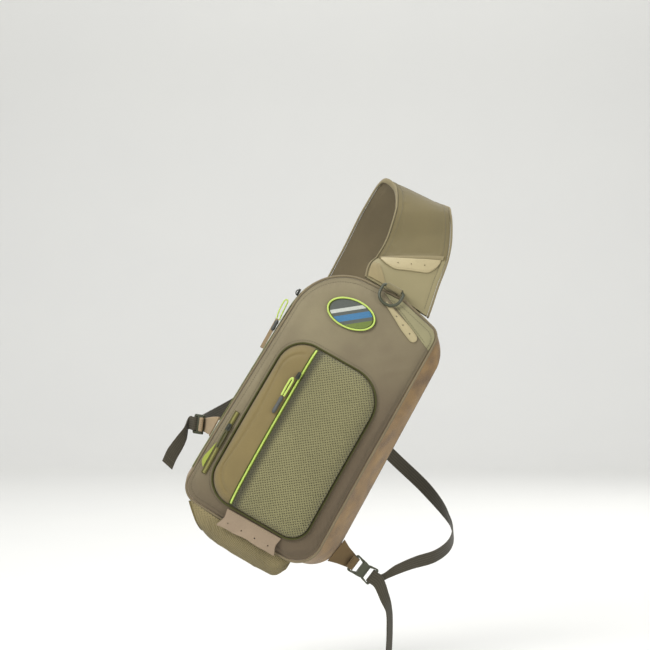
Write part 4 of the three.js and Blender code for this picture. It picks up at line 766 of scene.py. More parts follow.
# painted shade: the open gaps of the sleeve and back meshes are painted dark
SLEEVE_MESH = fabric("sleeve_mesh", (166, 152, 114), 2.3, gaps=0.85, relief=0.8, mottle=0.25, turn=math.radians(-30))
BACK_MESH = fabric("back_mesh", (104, 98, 84), 3.0, gaps=0.8, relief=0.8)
SLEEVE_HEM = fabric("sleeve_hem_cloth", (122, 110, 74), 0.9, mottle=0.15)
DARK_PIPING = fabric("dark_piping", (82, 82, 42), 0.7, mottle=0.12)
EDGE_PIPING = fabric("edge_piping", (138, 125, 102), 0.7, mottle=0.12)
STRAP_CLOTH = fabric("strap_cloth", (122, 111, 80), 1.1, mottle=0.1, fade=((0, 1), 66, 72, (166, 156, 123), 0.85))
STRAP_LINING = fabric("strap_lining", (122, 110, 88), 1.4, mottle=0.15)
STRAP_EDGE = fabric("strap_edge", (152, 140, 110), 0.7, mottle=0.1)
WING_CLOTH = fabric("wing_cloth", (128, 107, 78), 0.9, mottle=0.15, nap=0.5)
TAN_CLOTH = fabric("tan_cloth", (178, 156, 128), 1.3, mottle=0.12)
PALE_TAN = fabric("pale_tan", (170, 155, 120), 1.2, mottle=0.14)
KEEPER_CLOTH = fabric("keeper_cloth", (142, 132, 102), 1.3, mottle=0.12)
ZIP_TAPE = fabric("zip_tape", (92, 102, 40), 0.9, mottle=0.15)
OLIVE_TAPE = fabric("olive_tape", (98, 92, 54), 0.9, mottle=0.15)
LIME_TAPE = fabric("lime_tape", (172, 184, 88), 0.9, mottle=0.12)
CREAM_LEATHER = leather("cream_leather", (194, 180, 144))
PINK_LEATHER = leather("pink_leather", (168, 148, 128))
WEBBING_CLOTH = strands("webbing_cloth", (86, 79, 62), 1.7, slant=0.6, ribs=0.55, rough=0.8)
PLASTIC = hard("plastic", (74, 77, 60))
DARK_METAL = hard("dark_metal", (78, 80, 74), rough=0.35, metal=0.7)
GRIP_RUBBER = hard("grip_rubber", (84, 86, 86), rough=0.6)
LIME_CORD = strands("lime_cord", (222, 248, 122), 0.9, slant=0.7, relief=0.35)
DARK_BRAID = strands("dark_braid", (96, 94, 56), 0.9, slant=0.7, relief=0.35)
LIME_COIL = hard("lime_coil", (222, 248, 126), rough=0.5)
OLIVE_COIL = hard("olive_coil", (168, 164, 96), rough=0.5)
OLIVE_THREAD = strands("olive_thread", (112, 102, 76), 0.5)
PALE_THREAD = strands("pale_thread", (190, 174, 136), 0.5)
BROWN_THREAD = strands("brown_thread", (104, 84, 62), 0.5)
BADGE_EDGE = fabric("badge_edge", (84, 92, 40), 0.8, mottle=0.1)
BADGE_FIELD = embroidery("badge_field", [
    (0.0, (92, 98, 94)), (0.36, (226, 230, 228)), (0.43, (92, 98, 94)), (0.5, (58, 132, 190)),
    (0.62, (92, 98, 94)), (0.69, (122, 142, 44)), (0.83, (92, 98, 94)),
], 0.5)


def dress(made, slot, *nodes, body="bag"):
    """Says what a piece rides on and hides the solids that it stands for; its finish, slot, is not used."""
    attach(made, body)
    if nodes:
        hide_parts(*nodes)
    return made


def carry(node, material, bevel):
    """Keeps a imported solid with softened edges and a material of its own."""
    made = frame["nodes"][node]
    made.data.materials.clear()
    made.data.materials.append(material)
    if bevel:
        soft = made.modifiers.new("edge", "BEVEL")
        soft.width = bevel * MM
        soft.segments = 3
        soft.limit_method = "ANGLE"
        soft.angle_limit = math.radians(40)
        soft.harden_normals = False
    made.data.polygons.foreach_set("use_smooth", [True] * len(made.data.polygons))
    made.data.set_sharp_from_angle(angle=math.radians(40))
    return made


def paint(made, material, test):
    """Gives a second material to the faces that a test of their centres and normals picks."""
    count = len(made.data.polygons)
    centres = np.empty(count * 3, np.float32)
    normals = np.empty(count * 3, np.float32)
    made.data.polygons.foreach_get("center", centres)
    made.data.polygons.foreach_get("normal", normals)
    picked = test(centres.reshape(-1, 3) / MM, normals.reshape(-1, 3))
    made.data.materials.append(material)
    made.data.polygons.foreach_set("material_index", picked.astype(np.int32))
    return made


def bag_frame(points):
    """Points of the part's frame in the bag frame."""
    return (np.asarray(points, float) - BAG_ORIGIN) @ BAG_TURN


def drilled(made, centres, along, radius):
    """Round holes through a piece at points of the part's frame."""
    shape = bmesh.new()
    turn = Matrix(np.stack((*np.linalg.svd(np.asarray(along)[None])[2][1:], unit(along)), 1).tolist()).to_4x4()
    for centre in centres:
        place = Matrix.Translation((centre * MM).tolist()) @ turn
        bmesh.ops.create_cone(
            shape, cap_ends=True, segments=20, radius1=radius * MM, radius2=radius * MM, depth=12 * MM, matrix=place
        )
    bmesh.ops.recalc_face_normals(shape, faces=shape.faces)
    mesh = bpy.data.meshes.new("drill")
    shape.to_mesh(mesh)
    shape.free()
    drill = bpy.data.objects.new("drill", mesh)
    bpy.context.scene.collection.objects.link(drill)
    cut = made.modifiers.new("holes", "BOOLEAN")
    cut.object = drill
    cut.solver = "EXACT"
    evaluated = made.evaluated_get(bpy.context.evaluated_depsgraph_get())
    made.data = bpy.data.meshes.new_from_object(evaluated)
    made.modifiers.clear()
    bpy.data.objects.remove(drill)
    made.data.set_sharp_from_angle(angle=math.radians(45))
    return made


# Surfaces of the bag, in its own frame


def front_y(x, z):
    """Front of the bag without its rolled rim."""
    share_x = np.maximum(0, 1 - ((x - FRONT_CENTRE[0]) / FRONT_HALF[0]) ** 2)
    share_z = np.maximum(0, 1 - ((z - FRONT_CENTRE[1]) / FRONT_HALF[1]) ** 2)
    return -(smooth(DEPTHS, z) + FRONT_CROWN * share_x * share_z)


RIM_COUNT = 1440
FRONT_RIM = outline(FRONT_OUTLINE, RIM_COUNT)
BACK_RIM = outline(BACK_OUTLINE, RIM_COUNT)
POCKET_RIM = outline(POCKET_OUTLINE, RIM_COUNT)


def at_share(points, share):
    """Points at shares of the way round a closed row."""
    at = np.mod(share, 1) * len(points)
    return between(points, at, period=len(points))


def share_near(point):
    return np.argmin(np.linalg.norm(FRONT_RIM - point, axis=1)) / RIM_COUNT


def drawn_in(rim, centre, rhos):
    """Grid of an outline drawn in to a centre: rows along it, columns from the rim inwards."""
    grid = centre + (rim[:, None] - centre) * rhos[None, :, None]
    return grid[..., 0], grid[..., 1]


def pocket_share(x, z):
    """How far out a point lies, from 0 at the pocket's centre to 1 at its rim, and the rim's distance there."""
    spokes = POCKET_RIM - POCKET_CENTRE
    ray_x, ray_z = x - POCKET_CENTRE[0], z - POCKET_CENTRE[1]
    turns = np.arctan2(spokes[:, 1], spokes[:, 0])
    reach = np.interp(np.arctan2(ray_z, ray_x), turns, np.linalg.norm(spokes, axis=1), period=2 * math.pi)
    return np.hypot(ray_x, ray_z) / reach, reach


def pocket_y(x, z):
    """Outer surface of the pocket over a point of the front."""
    rho, _ = pocket_share(x, z)
    return front_y(x, z) - DRAPE - smooth(POCKET_RISE, np.minimum(1, rho))


def laid(x, z, lift):
    """Points over the front of the bag, in the part's frame."""
    return world(np.stack(np.broadcast_arrays(x, front_y(x, z) - DRAPE - lift, z), -1))


def gusset_point(share, depth, sink=0.0):
    """Side wall between the rims of the front and the back, in the bag frame."""
    share, depth = np.broadcast_arrays(np.asarray(share, float), np.asarray(depth, float))
    front = at_share(FRONT_RIM, share)
    rear = at_share(BACK_RIM, share)
    start = front_y(front[..., 0], front[..., 1]) + EDGE_ROLL + FRONT_WALL + CLEAR
    bulge = GUSSET_BULGE * np.sin(math.pi * depth) - sink
    flat = front + (rear - front) * depth[..., None] + at_share(outward(FRONT_RIM), share) * bulge[..., None]
    return np.stack((flat[..., 0], start + (-BACK_WALL - CLEAR - start) * depth, flat[..., 1]), -1)


# Camera at the photo's angle
camera = bpy.data.objects.new("camera", bpy.data.cameras.new("camera"))
camera.location = (-0.141, -3.64, -0.187)
camera.rotation_euler = (math.pi / 2, 0, 0)
camera.data.lens = 132.65
camera.data.sensor_width = 36
bpy.context.scene.collection.objects.link(camera)
bpy.context.scene.camera = camera


def pull_cord(name, pull, place, material, slot, grip=()):
    """Doubled cord of a slider: place(offset, z) gives a point to one side of its middle."""
    rows = [(pull["end"] + way if way > 0 else pull["top"] + way, share) for way, share in PULL_LOOP]
    leg = [(share * pull["half"], z) for z, share in rows]
    bends = [(-offset, z) for offset, z in leg] + [(0, pull["top"])] + leg[::-1]
    points = [world(place(offset, z)) for offset, z in bends]
    route, tangent = spline(points, np.linspace(0, len(points) - 1, 161))
    across = square_to(FRONT, tangent)
    made = tube(name, route, across, np.cross(across, tangent), round_section(pull["cord"], 14), material)
    dress(made, slot, name.replace("_braid", ""))
    return made


side_lift = DRAPE + SIDE_ZIP["wall"] + SIDE_PULL["cord"]
pull_cord(
    "side_pull_cord_braid", SIDE_PULL,
    lambda offset, z: (SIDE_PULL["x"] + offset, front_y(SIDE_PULL["x"], z) - DRAPE - side_lift, z),
    DARK_BRAID, "piping",
)
pull_cord(
    "pocket_pull_cord_braid", POCKET_PULL,
    lambda offset, z: (POCKET_PULL["x"] + offset, pocket_y(POCKET_PULL["x"], z) - DRAPE - GRIP_RADIUS, z),
    LIME_CORD, "lime", [carry("pocket_pull_grip", GRIP_RUBBER, 0)],
)


def main_pull_x(z):
    return MAIN_PULL["x"] - MAIN_PULL["lift"] * min(1, (z - MAIN_PULL["end"]) / MAIN_PULL["rise"])


pull_cord(
    "main_pull_cord_braid", MAIN_PULL,
    lambda offset, z: (main_pull_x(z) + offset, MAIN_PULL["y"], z),
    LIME_CORD, "lime", [carry("main_pull_grip", GRIP_RUBBER, 0)],
)


def slider(node, at, out):
    """Packed slider with the bridge on its back that holds the pull; at and out are in the bag frame."""
    carry(node, DARK_METAL, 0.6)
    out = BAG_TURN @ out
    turn = np.linspace(0, math.pi, 17)[:, None]
    along = BRIDGE["shift"] + BRIDGE["half"] * np.cos(turn)
    line = world(at) + UP * along + out * (BRIDGE["foot"] + BRIDGE["rise"] * np.sin(turn))
    side = np.broadcast_to(np.cross(UP, out), line.shape)
    square = np.cross(side, unit(np.gradient(line, axis=0)))
    made = tube(node + "_bridge", line, side, square, round_section(BRIDGE["wire"], 10), DARK_METAL)
    return dress(made, "slider")


side_slider_y = front_y(SIDE_ZIP["x"], SIDE_ZIP["slider"]) - 2 * DRAPE - SIDE_ZIP["wall"]
slider("side_slider", (SIDE_ZIP["x"], side_slider_y, SIDE_ZIP["slider"]), (0, -1, 0))
pocket_slider_y = pocket_y(POCKET_ZIP_X, POCKET_SLIDER_Z) - 2 * DRAPE
slider("pocket_slider", (POCKET_ZIP_X - 3, pocket_slider_y, POCKET_SLIDER_Z), (0, -1, 0))
main_at = gusset_point(share_near(MAIN_SLIDER["near"]), ZIP_DEPTH) - (2 * DRAPE, 0, 0)
slider("main_slider", main_at, (-math.sin(MAIN_SLIDER["turn"]), -math.cos(MAIN_SLIDER["turn"]), 0))

# Body of the bag


def near_line(x, z, line):
    """Signed distance from a straight line (above it is positive) and the share of the way along it."""
    start, end = np.array(line, float)
    way = unit(end - start)
    off_x, off_z = x - start[0], z - start[1]
    return off_z * way[0] - off_x * way[1], (off_x * way[0] + off_z * way[1]) / np.linalg.norm(end - start)


def waves(x, z, size, seed):
    """Soft uneven swell of about one, with no direction of its own."""
    chance = np.random.default_rng(seed)
    total = 0
    for _ in range(7):
        turn, phase = chance.uniform(0, 2 * math.pi, 2)
        pitch = size * chance.uniform(0.7, 1.6)
        total = total + np.sin((x * math.cos(turn) + z * math.sin(turn)) * 2 * math.pi / pitch + phase)
    return total / 3.5


def front_shell():
    """Front of the bag before it is parted along the corner seam."""
    rhos = 1 - np.linspace(0, 1, 52) ** 1.3
    rim = at_share(FRONT_RIM, np.arange(400) / 400)
    x, z = drawn_in(rim, FRONT_CENTRE, rhos)
    roll = np.maximum(0, (rhos - EDGE_ROLL_START) / (1 - EDGE_ROLL_START))[None]
    seam, _ = near_line(x, z, CORNER_SEAM)
    away, reach = pocket_share(x, z)
    rim_way = (1 - rhos)[None] * np.linalg.norm(rim - FRONT_CENTRE, axis=1)[:, None]
    run = np.arange(400)[:, None] / 400 * RIM_RUN
    free = np.clip((rim_way - 4) / 20, 0, 1) * np.clip(((away - 1) * reach - 3) / 16, 0, 1)
    # rolled rim, groove of the corner seam, fold beside the rim, puckers of its stitching, soft swell
    y = front_y(x, z) + EDGE_ROLL * roll ** 2
    y = y + 1.1 * ridge(seam, 2.2) + 0.45 * ridge(rim_way - 5, 2.0)
    y = y + 0.28 * np.sin(run * 2 * math.pi / 11) * ridge(rim_way - 9, 6) + 0.5 * free * waves(x, z, 90, 3)
    points = world(np.stack((x, y, z), -1))
    # held still at the rim and under the pieces laid on it
    over_badge = np.hypot((x - BADGE["x"]) / (BADGE["long"] + 6), (z - BADGE["z"]) / (BADGE["short"] + 6)) < 1
    over_zip = (np.abs(x - SIDE_ZIP["x"]) < 9) & (z > SIDE_ZIP["z0"] - 5) & (z < SIDE_ZIP["z1"] + 5)
    over_flap = (x > BOTTOM_TRIM["x0"] - 6) & (x < BOTTOM_TRIM["x1"] + 6) & (z < BOTTOM_TRIM["top"] + 4)
    over_trim = (np.abs(seam + CORNER_TRIM["width"] / 2) < 11) & (x > 0)
    held = (rim_way < 3) | (away < 1.05) | over_badge | over_zip | over_flap | over_trim
    points = relaxed(points, held.astype(float), True, pressure=4.0, slack=0.01, gravity=0.3, cap=1.6)
    for start, end, height, width in CREASES:
        off, share = near_line(x, z, (start, end))
        rise = height * ridge(off, width) * ridge(share - 0.5, 0.42) * np.clip(rim_way / 8, 0, 1)
        points = points + FRONT * rise[..., None]
    inner = points + REAR * FRONT_WALL
    return walled("front_panel_cloth", points, inner, np.stack((x, z), -1), FRONT_CLOTH, True)


front_panel = front_shell()
seam_way = unit(CORNER_SEAM[1] - CORNER_SEAM[0])
beyond = UP * seam_way[0] - ACROSS * seam_way[1]
corner_panel = halves(
    front_panel, "corner_panel_cloth", world((CORNER_SEAM[0][0], 0, CORNER_SEAM[0][1])), beyond, CORNER_CLOTH
)
dress(front_panel, "front_cloth", "front_panel_lower", "front_panel_upper")
dress(corner_panel, "corner_cloth", "corner_panel")
rim_ring = np.concatenate((FRONT_RIM, FRONT_RIM[:1]))
rim_ring = rim_ring - unit(rim_ring - FRONT_CENTRE) * 5.2
rim_line = world(np.stack((rim_ring[:, 0], front_y(*rim_ring.T) + 2.5, rim_ring[:, 1]), 1))
past_seam = near_line(*rim_ring.T, CORNER_SEAM)[0] > 0
first = np.flatnonzero(past_seam)[[0, -1]]
front_row = np.concatenate((rim_line[first[1] + 1:], rim_line[:first[0]]))
sewn("front_rim_stitches", front_panel, front_row, OLIVE_THREAD)
sewn("corner_rim_stitches", corner_panel, rim_line[first[0]:first[1] + 1], OLIVE_THREAD)
seam_at = CORNER_SEAM[0] + (CORNER_SEAM[1] - CORNER_SEAM[0]) * np.linspace(0.12, 1.02, 80)[:, None]
seam_at = seam_at + np.array((-seam_way[1], seam_way[0])) * 3.2
sewn("corner_seam_stitches", corner_panel, laid(*seam_at.T, -DRAPE), OLIVE_THREAD)


def back_shell():
    """Padded back with two moulded channels."""
    rhos = 1 - np.linspace(0, 1, 40) ** 1.3
    x, z = drawn_in(at_share(BACK_RIM, np.arange(300) / 300), FRONT_CENTRE, rhos)
    swell = BACK_CROWN * (1 - rhos[None] ** 4)
    channel = ridge(np.abs(x) - 38, 5) + ridge(z - 250, 5)
    outer = world(np.stack((x, swell * (1 - 0.75 * np.clip(channel, 0, 1)), z), -1))
    inner = world(np.stack((x, np.full_like(x, -BACK_WALL), z), -1))
    return walled("back_panel_mesh", outer, inner, np.stack((x, z), -1), BACK_MESH, True)


dress(back_shell(), "back_mesh", "back_panel")

lower_left = share_near(SEAM_LOWER_LEFT)
lower_right = share_near(SEAM_LOWER_RIGHT)
upper_right = share_near(SEAM_UPPER_RIGHT)
lower_left += lower_left < lower_right
RIM_LENGTH = np.linalg.norm(np.roll(FRONT_RIM, -1, 0) - FRONT_RIM, axis=1).sum()
seam_gap = CLEAR / RIM_LENGTH


def side_wall(name, material, slot, start, end, front, rear, wrinkle):
    """Stretch of the side wall; wrinkle is how deep its soft waves are."""
    length = (end - start) * RIM_LENGTH
    shares = np.linspace(start, end, int(length / 3))[:, None]
    depths = np.linspace(front, rear, 3 + int(24 * (rear - front)))[None]
    run, width = np.broadcast_arrays((shares - start) * RIM_LENGTH, depths * SIDE_RUN)
    wave = wrinkle * (waves(run, width * 0.6, 46, 5) - 0.6) * np.sin(math.pi * depths)
    outer = world(gusset_point(shares, depths, -wave))
    inner = world(gusset_point(shares, depths, GUSSET_WALL - wave))
    made = walled(name + "_cloth", outer, inner, np.stack((width, run), -1), material)
    return dress(made, slot, name)


zip_span = (upper_right + seam_gap, lower_left - seam_gap)
side_wall("bottom_gusset", GUSSET_CLOTH, "gusset_cloth", lower_left - 1, lower_right, 0, 1, 0.6)
side_wall("right_gusset", GUSSET_CLOTH, "gusset_cloth", lower_right + seam_gap, upper_right, 0, 1, 1.2)
side_wall("zip_band_front", BAND_CLOTH, "front_cloth", *zip_span, 0, 0.4, 0.4)
side_wall("main_zip", ZIP_TAPE, "zip_tape", *zip_span, *ZIP_TAPE_DEPTHS, 0)
side_wall("zip_band_back", BAND_CLOTH, "front_cloth", *zip_span, 0.59, 1, 0.4)


zip_shares = np.linspace(*zip_span, 400)
zip_line, zip_rear = (world(gusset_point(zip_shares, depth, -0.5)) for depth in (ZIP_DEPTH, 0.6))
zip_out = at_share(outward(FRONT_RIM), zip_shares) @ (ACROSS, UP)
sticks("main_zip_coil", zip_line, zip_out, OLIVE_COIL, 1.9, 4.6, 1.5, zip_rear - zip_line)


def bead(name, points, radius, material, slot, node):
    """Closed round bead along a row of points."""
    made = tube(name, *bead_frames(points), round_section(radius, 12), material, True)
    return dress(made, slot, node)


def beside(rim, count, radius):
    """Points of an outline, and the points beside it where a bead of a radius lies."""
    shares = np.arange(count) / count
    at = at_share(rim, shares)
    return at, at + at_share(outward(rim), shares) * (radius + 2 * CLEAR)


rim_at, bead_at = beside(FRONT_RIM, 360, PIPING_RADIUS)
bead_line = world(np.stack((bead_at[:, 0], front_y(*rim_at.T) + EDGE_ROLL + 1, bead_at[:, 1]), 1))
bead("front_piping_bead", bead_line, PIPING_RADIUS, EDGE_PIPING, "edge_piping", "front_piping")


def strip(name, place, long, wide, wall, material):
    """Flat strip with round edges on a surface place(u, v, lift); long and wide are its size."""
    grids = []
    for size in (long, wide):
        edge = np.array((0, 0.25, 0.7, 1.3, 2.2)) / size
        inside = np.linspace(2.2 / size, 1 - 2.2 / size, max(3, int(size / 2.5)))[1:-1]
        grids.append(np.concatenate((edge, inside, 1 - edge[::-1])))
    u, v = np.meshgrid(*grids, indexing="ij")
    edge = np.minimum(np.minimum(u, 1 - u) * long, np.minimum(v, 1 - v) * wide)
    radius = 0.75 * wall
    lift = wall - radius + np.sqrt(radius ** 2 - (radius - np.minimum(edge, radius)) ** 2)
    return walled(name, place(u, v, lift), place(u, v, 0 * u), np.stack((u * long, v * wide), -1), material)


ROW_POINTS = 60


def row_on(place, ends, v, lift):
    """Row of points along a strip."""
    return place(np.linspace(*ends, ROW_POINTS), np.full(ROW_POINTS, v), np.full(ROW_POINTS, float(lift)))


def punched(made, place, shares, v, along):
    """Row of round holes in a strip, at shares of its length."""
    shares = np.array(shares)
    return drilled(made, place(shares, np.full(len(shares), v), 1.0), along, HOLE_RADIUS)


seam_angle = math.atan2(seam_way[1], seam_way[0])
trim_long = np.linalg.norm(CORNER_SEAM[1] - CORNER_SEAM[0]) * (CORNER_TRIM["to"] - CORNER_TRIM["from"])


def corner_trim_place(u, v, lift):
    along = CORNER_TRIM["from"] + (CORNER_TRIM["to"] - CORNER_TRIM["from"]) * u
    roundness = np.maximum(0, (u - 0.9) / 0.1)
    taper = np.maximum(0.22, np.sqrt(1 - roundness ** 2)) * np.minimum(1, 0.35 + u)
    across = -CORNER_TRIM["width"] * (0.5 + (v - 0.5) * taper)
    place = CORNER_SEAM[0] + (CORNER_SEAM[1] - CORNER_SEAM[0]) * along[..., None]
    return laid(place[..., 0] - math.sin(seam_angle) * across, place[..., 1] + math.cos(seam_angle) * across, lift)


corner_trim = strip(
    "corner_trim_leather", corner_trim_place, trim_long, CORNER_TRIM["width"], CORNER_TRIM["wall"], CREAM_LEATHER
)
punched(corner_trim, corner_trim_place, CORNER_TRIM["holes"], 0.5, FRONT)
dress(corner_trim, "cream_leather", "corner_trim")
for side, v in (("left", 0.15), ("right", 0.85)):
    row = row_on(corner_trim_place, (0.05, 0.93), v, CORNER_TRIM["wall"])
    sewn(f"corner_trim_stitches_{side}", corner_trim, row, PALE_THREAD, LEATHER_LIFT, LEATHER_STITCH)


flap_long = BOTTOM_TRIM["x1"] - BOTTOM_TRIM["x0"]
flap_tall = BOTTOM_TRIM["top"] - BOTTOM_TRIM["bottom"]


def flap_place(u, v, lift):
    """Flap with hollow sides, whose lower edge is wavy and curls off the bag."""
    spread = BOTTOM_TRIM["flare"] * (1 - v) - BOTTOM_TRIM["hollow"] * np.sin(math.pi * v) ** 2
    x = BOTTOM_TRIM["x0"] + flap_long * u + spread * (2 * u - 1)
    z = BOTTOM_TRIM["bottom"] + flap_tall * v + BOTTOM_TRIM["wavy"] * (1 - v) ** 3 * waves(x, 0 * x, 30, 6)
    curl = BOTTOM_TRIM["curl"] * (1 - v) ** 1.5 * (1 + waves(x, z, 34, 9))
    return world(np.stack((x, front_y(x, BOTTOM_TRIM["top"]) - DRAPE - lift - curl, z), -1))


flap = strip("bottom_trim_leather", flap_place, flap_long, flap_tall, BOTTOM_TRIM["wall"], PINK_LEATHER)
punched(flap, flap_place, BOTTOM_TRIM["holes"], 0.32, FRONT)
dress(flap, "pink_leather", "bottom_trim")
row = row_on(flap_place, (0.03, 0.97), 0.9, BOTTOM_TRIM["wall"])
sewn("bottom_trim_stitches", flap, row, PALE_THREAD, LEATHER_LIFT, LEATHER_STITCH)

# Front pocket and zips

GROOVE_WAY = 14  # how far the moulded groove lies inside the pocket's rim


def pocket_shell():
    """Moulded pocket before it is cut along its zip."""
    rhos = 1 - np.linspace(0, 1, 64) ** 1.5
    rim = at_share(POCKET_RIM, np.arange(380) / 380)
    reach = np.linalg.norm(rim - POCKET_CENTRE, axis=1)[:, None]
    x, z = drawn_in(rim, POCKET_CENTRE, rhos)
    way = (1 - rhos)[None] * reach
    left = np.clip((POCKET_ZIP_X - 6 - x) / 8, 0, 1)
    rise = smooth(POCKET_RISE, rhos)[None]
    groove = 2.3 * ridge(way - GROOVE_WAY, 2.4) * left
    groove = groove + 0.4 * waves(x, z, 60, 8) * np.clip(way / 30, 0, 1) * (1 - left)
    slit = 1.2 * ridge(x - POCKET_ZIP_X, 4.5) * np.clip(way / 12, 0, 1)
    outer = np.stack((x, front_y(x, z) - DRAPE - np.maximum(0, rise - groove - slit), z), -1)
    draw = 1 - POCKET_WALL / (POCKET_OUTLINE[1][0] - POCKET_CENTRE[0])
    inner_x, inner_z = drawn_in(rim, POCKET_CENTRE, rhos * draw)
    sunk = np.maximum(0, rise - POCKET_WALL - groove - slit)
    inner = np.stack((inner_x, front_y(inner_x, inner_z) - DRAPE - sunk, inner_z), -1)
    return walled("pocket_strip_shell", world(outer), world(inner), np.stack((x, z), -1), POCKET_SHELL, True)


pocket_strip = pocket_shell()
half_zip = (POCKET_ZIP_WIDTH + CLEAR) / 2
pocket_zip = halves(pocket_strip, "pocket_zip_tape", world((POCKET_ZIP_X - half_zip, 0, 0)), ACROSS, ZIP_TAPE)
pocket_mesh = halves(pocket_zip, "pocket_mesh_weave", world((POCKET_ZIP_X + half_zip, 0, 0)), ACROSS, POCKET_WEAVE)
dress(pocket_strip, "pocket_shell", "pocket_strip")
dress(pocket_zip, "lime", "pocket_zip")
dress(pocket_mesh, "pocket_weave", "pocket_mesh")

_, bead_at = beside(POCKET_RIM, 300, POCKET_PIPING_RADIUS)
bead_line = laid(*bead_at.T, POCKET_PIPING_RADIUS)
bead("pocket_piping_bead", bead_line, POCKET_PIPING_RADIUS, DARK_PIPING, "piping", "pocket_piping")

pocket_row = POCKET_RIM + outward(POCKET_RIM) * POCKET_SEAM
pocket_row = np.concatenate((pocket_row, pocket_row[:1]))
pocket_row = pocket_row[(pocket_row[:, 1] > 30) | (np.abs(pocket_row[:, 0] - 6) > 50)]
clear = np.flatnonzero(np.linalg.norm(np.diff(pocket_row, axis=0), axis=1) > 20)
pocket_row = np.roll(pocket_row, -(clear[0] + 1), 0) if len(clear) else pocket_row
sewn("pocket_stitches", front_panel, laid(*pocket_row.T, -DRAPE), OLIVE_THREAD)

zip_z = np.linspace(*POCKET_ZIP_ENDS, 210)
zip_x = np.full(210, float(POCKET_ZIP_X))
zip_line = np.stack((zip_x, pocket_y(zip_x, zip_z) + 0.7, zip_z), 1)
sticks("pocket_zip_coil", world(zip_line), FRONT, LIME_COIL, 1.5, 2.8, 1.4, ACROSS)


def side_zip_place(u, v, lift):
    x = SIDE_ZIP["x"] + (u - 0.5) * SIDE_ZIP["width"]
    return laid(x, SIDE_ZIP["z0"] + (SIDE_ZIP["z1"] - SIDE_ZIP["z0"]) * v, lift)


side_zip_long = SIDE_ZIP["z1"] - SIDE_ZIP["z0"]
side_zip = strip("side_zip_tape", side_zip_place, SIDE_ZIP["width"], side_zip_long, SIDE_ZIP["wall"], OLIVE_TAPE)
dress(side_zip, "zip_tape", "side_zip")
zip_z = np.linspace(SIDE_ZIP["z0"] + 1, SIDE_ZIP["z1"] - 1, 60)
zip_line = laid(SIDE_ZIP["x"], zip_z, SIDE_ZIP["wall"] + 0.1)
sticks("side_zip_coil", zip_line, FRONT, OLIVE_COIL, 1.6, 3.6, 1.4, ACROSS)

# Edge of the tape that spreads beside the open end of the short zip: z, left edge, right edge
TAPE_FLARE = [(50, -98.5, -97.8), (56, -103.5, -97.8), (64, -104.2, -97.6), (76, -101.4, -97.4), (90, -98.0, -97.4)]


def flare_place(u, v, lift):
    z = TAPE_FLARE[0][0] + (TAPE_FLARE[-1][0] - TAPE_FLARE[0][0]) * v
    left = smooth([row[:2] for row in TAPE_FLARE], z)
    right = smooth([(row[0], row[2]) for row in TAPE_FLARE], z)
    return laid(left + (right - left) * u, z, lift)


dress(strip("side_zip_flare", flare_place, 6, 40, 0.8, LIME_TAPE), "lime")


def badge_place(rho, share, lift):
    angle = 2 * math.pi * share
    along, up = BADGE["long"] * rho * np.cos(angle), BADGE["short"] * rho * np.sin(angle)
    x = BADGE["x"] + along * math.cos(BADGE["turn"]) - up * math.sin(BADGE["turn"])
    z = BADGE["z"] + along * math.sin(BADGE["turn"]) + up * math.cos(BADGE["turn"])
    return laid(x, z, lift), np.stack(np.broadcast_arrays(along, up), -1)


badge_rhos = np.concatenate(((1, 0.992, 0.975, 0.955), np.linspace(0.93, 0, 16)))[None]
badge_shares = np.arange(160)[:, None] / 160
badge_lift = BADGE["wall"] * np.minimum(1, 0.45 + (1 - badge_rhos) * 14)
badge_top, badge_uv = badge_place(badge_rhos, badge_shares, badge_lift)
badge_base, _ = badge_place(badge_rhos, badge_shares, 0 * badge_rhos)
badge = walled("badge_cloth", badge_top, badge_base, badge_uv, BADGE_FIELD, True)
badge_centre = np.array((BADGE["x"], BADGE["z"]))


def on_badge_edge(at, normal):
    off = bag_frame(at)[:, (0, 2)] - badge_centre
    along = off @ (math.cos(BADGE["turn"]), math.sin(BADGE["turn"]))
    up = off @ (-math.sin(BADGE["turn"]), math.cos(BADGE["turn"]))
    return np.hypot(along / BADGE["long"], up / BADGE["short"]) > 0.88


dress(paint(badge, BADGE_EDGE, on_badge_edge), "badge", "badge")
rim_points, _ = badge_place(np.full(160, 0.95), np.arange(160) / 160, BADGE["wall"] + BADGE["rim"] + CLEAR)
bead("badge_rim_cord", rim_points, BADGE["rim"], LIME_CORD, "lime", "badge_rim")

# Sleeve, tab, ring and keeper

GATHERS = 13  # folds where the sleeve is drawn in
SLEEVE_FLAT = (160, 118)


def sleeve_place(u, v, sink):
    fold = np.clip((u - 0.62) / 0.38, 0, 1) ** 1.5
    depth = np.sin(math.pi * v) ** 0.7
    pleat = 3.0 * fold * np.sin(GATHERS * math.pi * v + 3 * u) * depth
    pleat = pleat + 0.8 * waves(u * SLEEVE_FLAT[0], v * SLEEVE_FLAT[1], 34, 4) * depth
    drop = smooth(SLEEVE_DROP, u) - sink - np.abs(pleat)
    half = smooth(SLEEVE_HALF, u) - sink - np.maximum(0, pleat)
    mouth = SLEEVE["mouth_top"] + (SLEEVE["mouth_bottom"] - SLEEVE["mouth_top"]) * depth + SLEEVE["mouth_rear"] * v
    x = mouth + (SLEEVE["end"] - mouth) * u - sink * np.maximum(0, (u - 0.9) / 0.1)
    swing = np.cos(math.pi * v)
    y = SLEEVE["y"] - half * np.sign(swing) * np.abs(swing) ** 0.7
    edge = smooth(SLEEVE_FRONT, u) * (1 - v) + smooth(SLEEVE_REAR, u) * v
    return world(np.stack((x, y, edge - (drop + edge) * depth), -1))


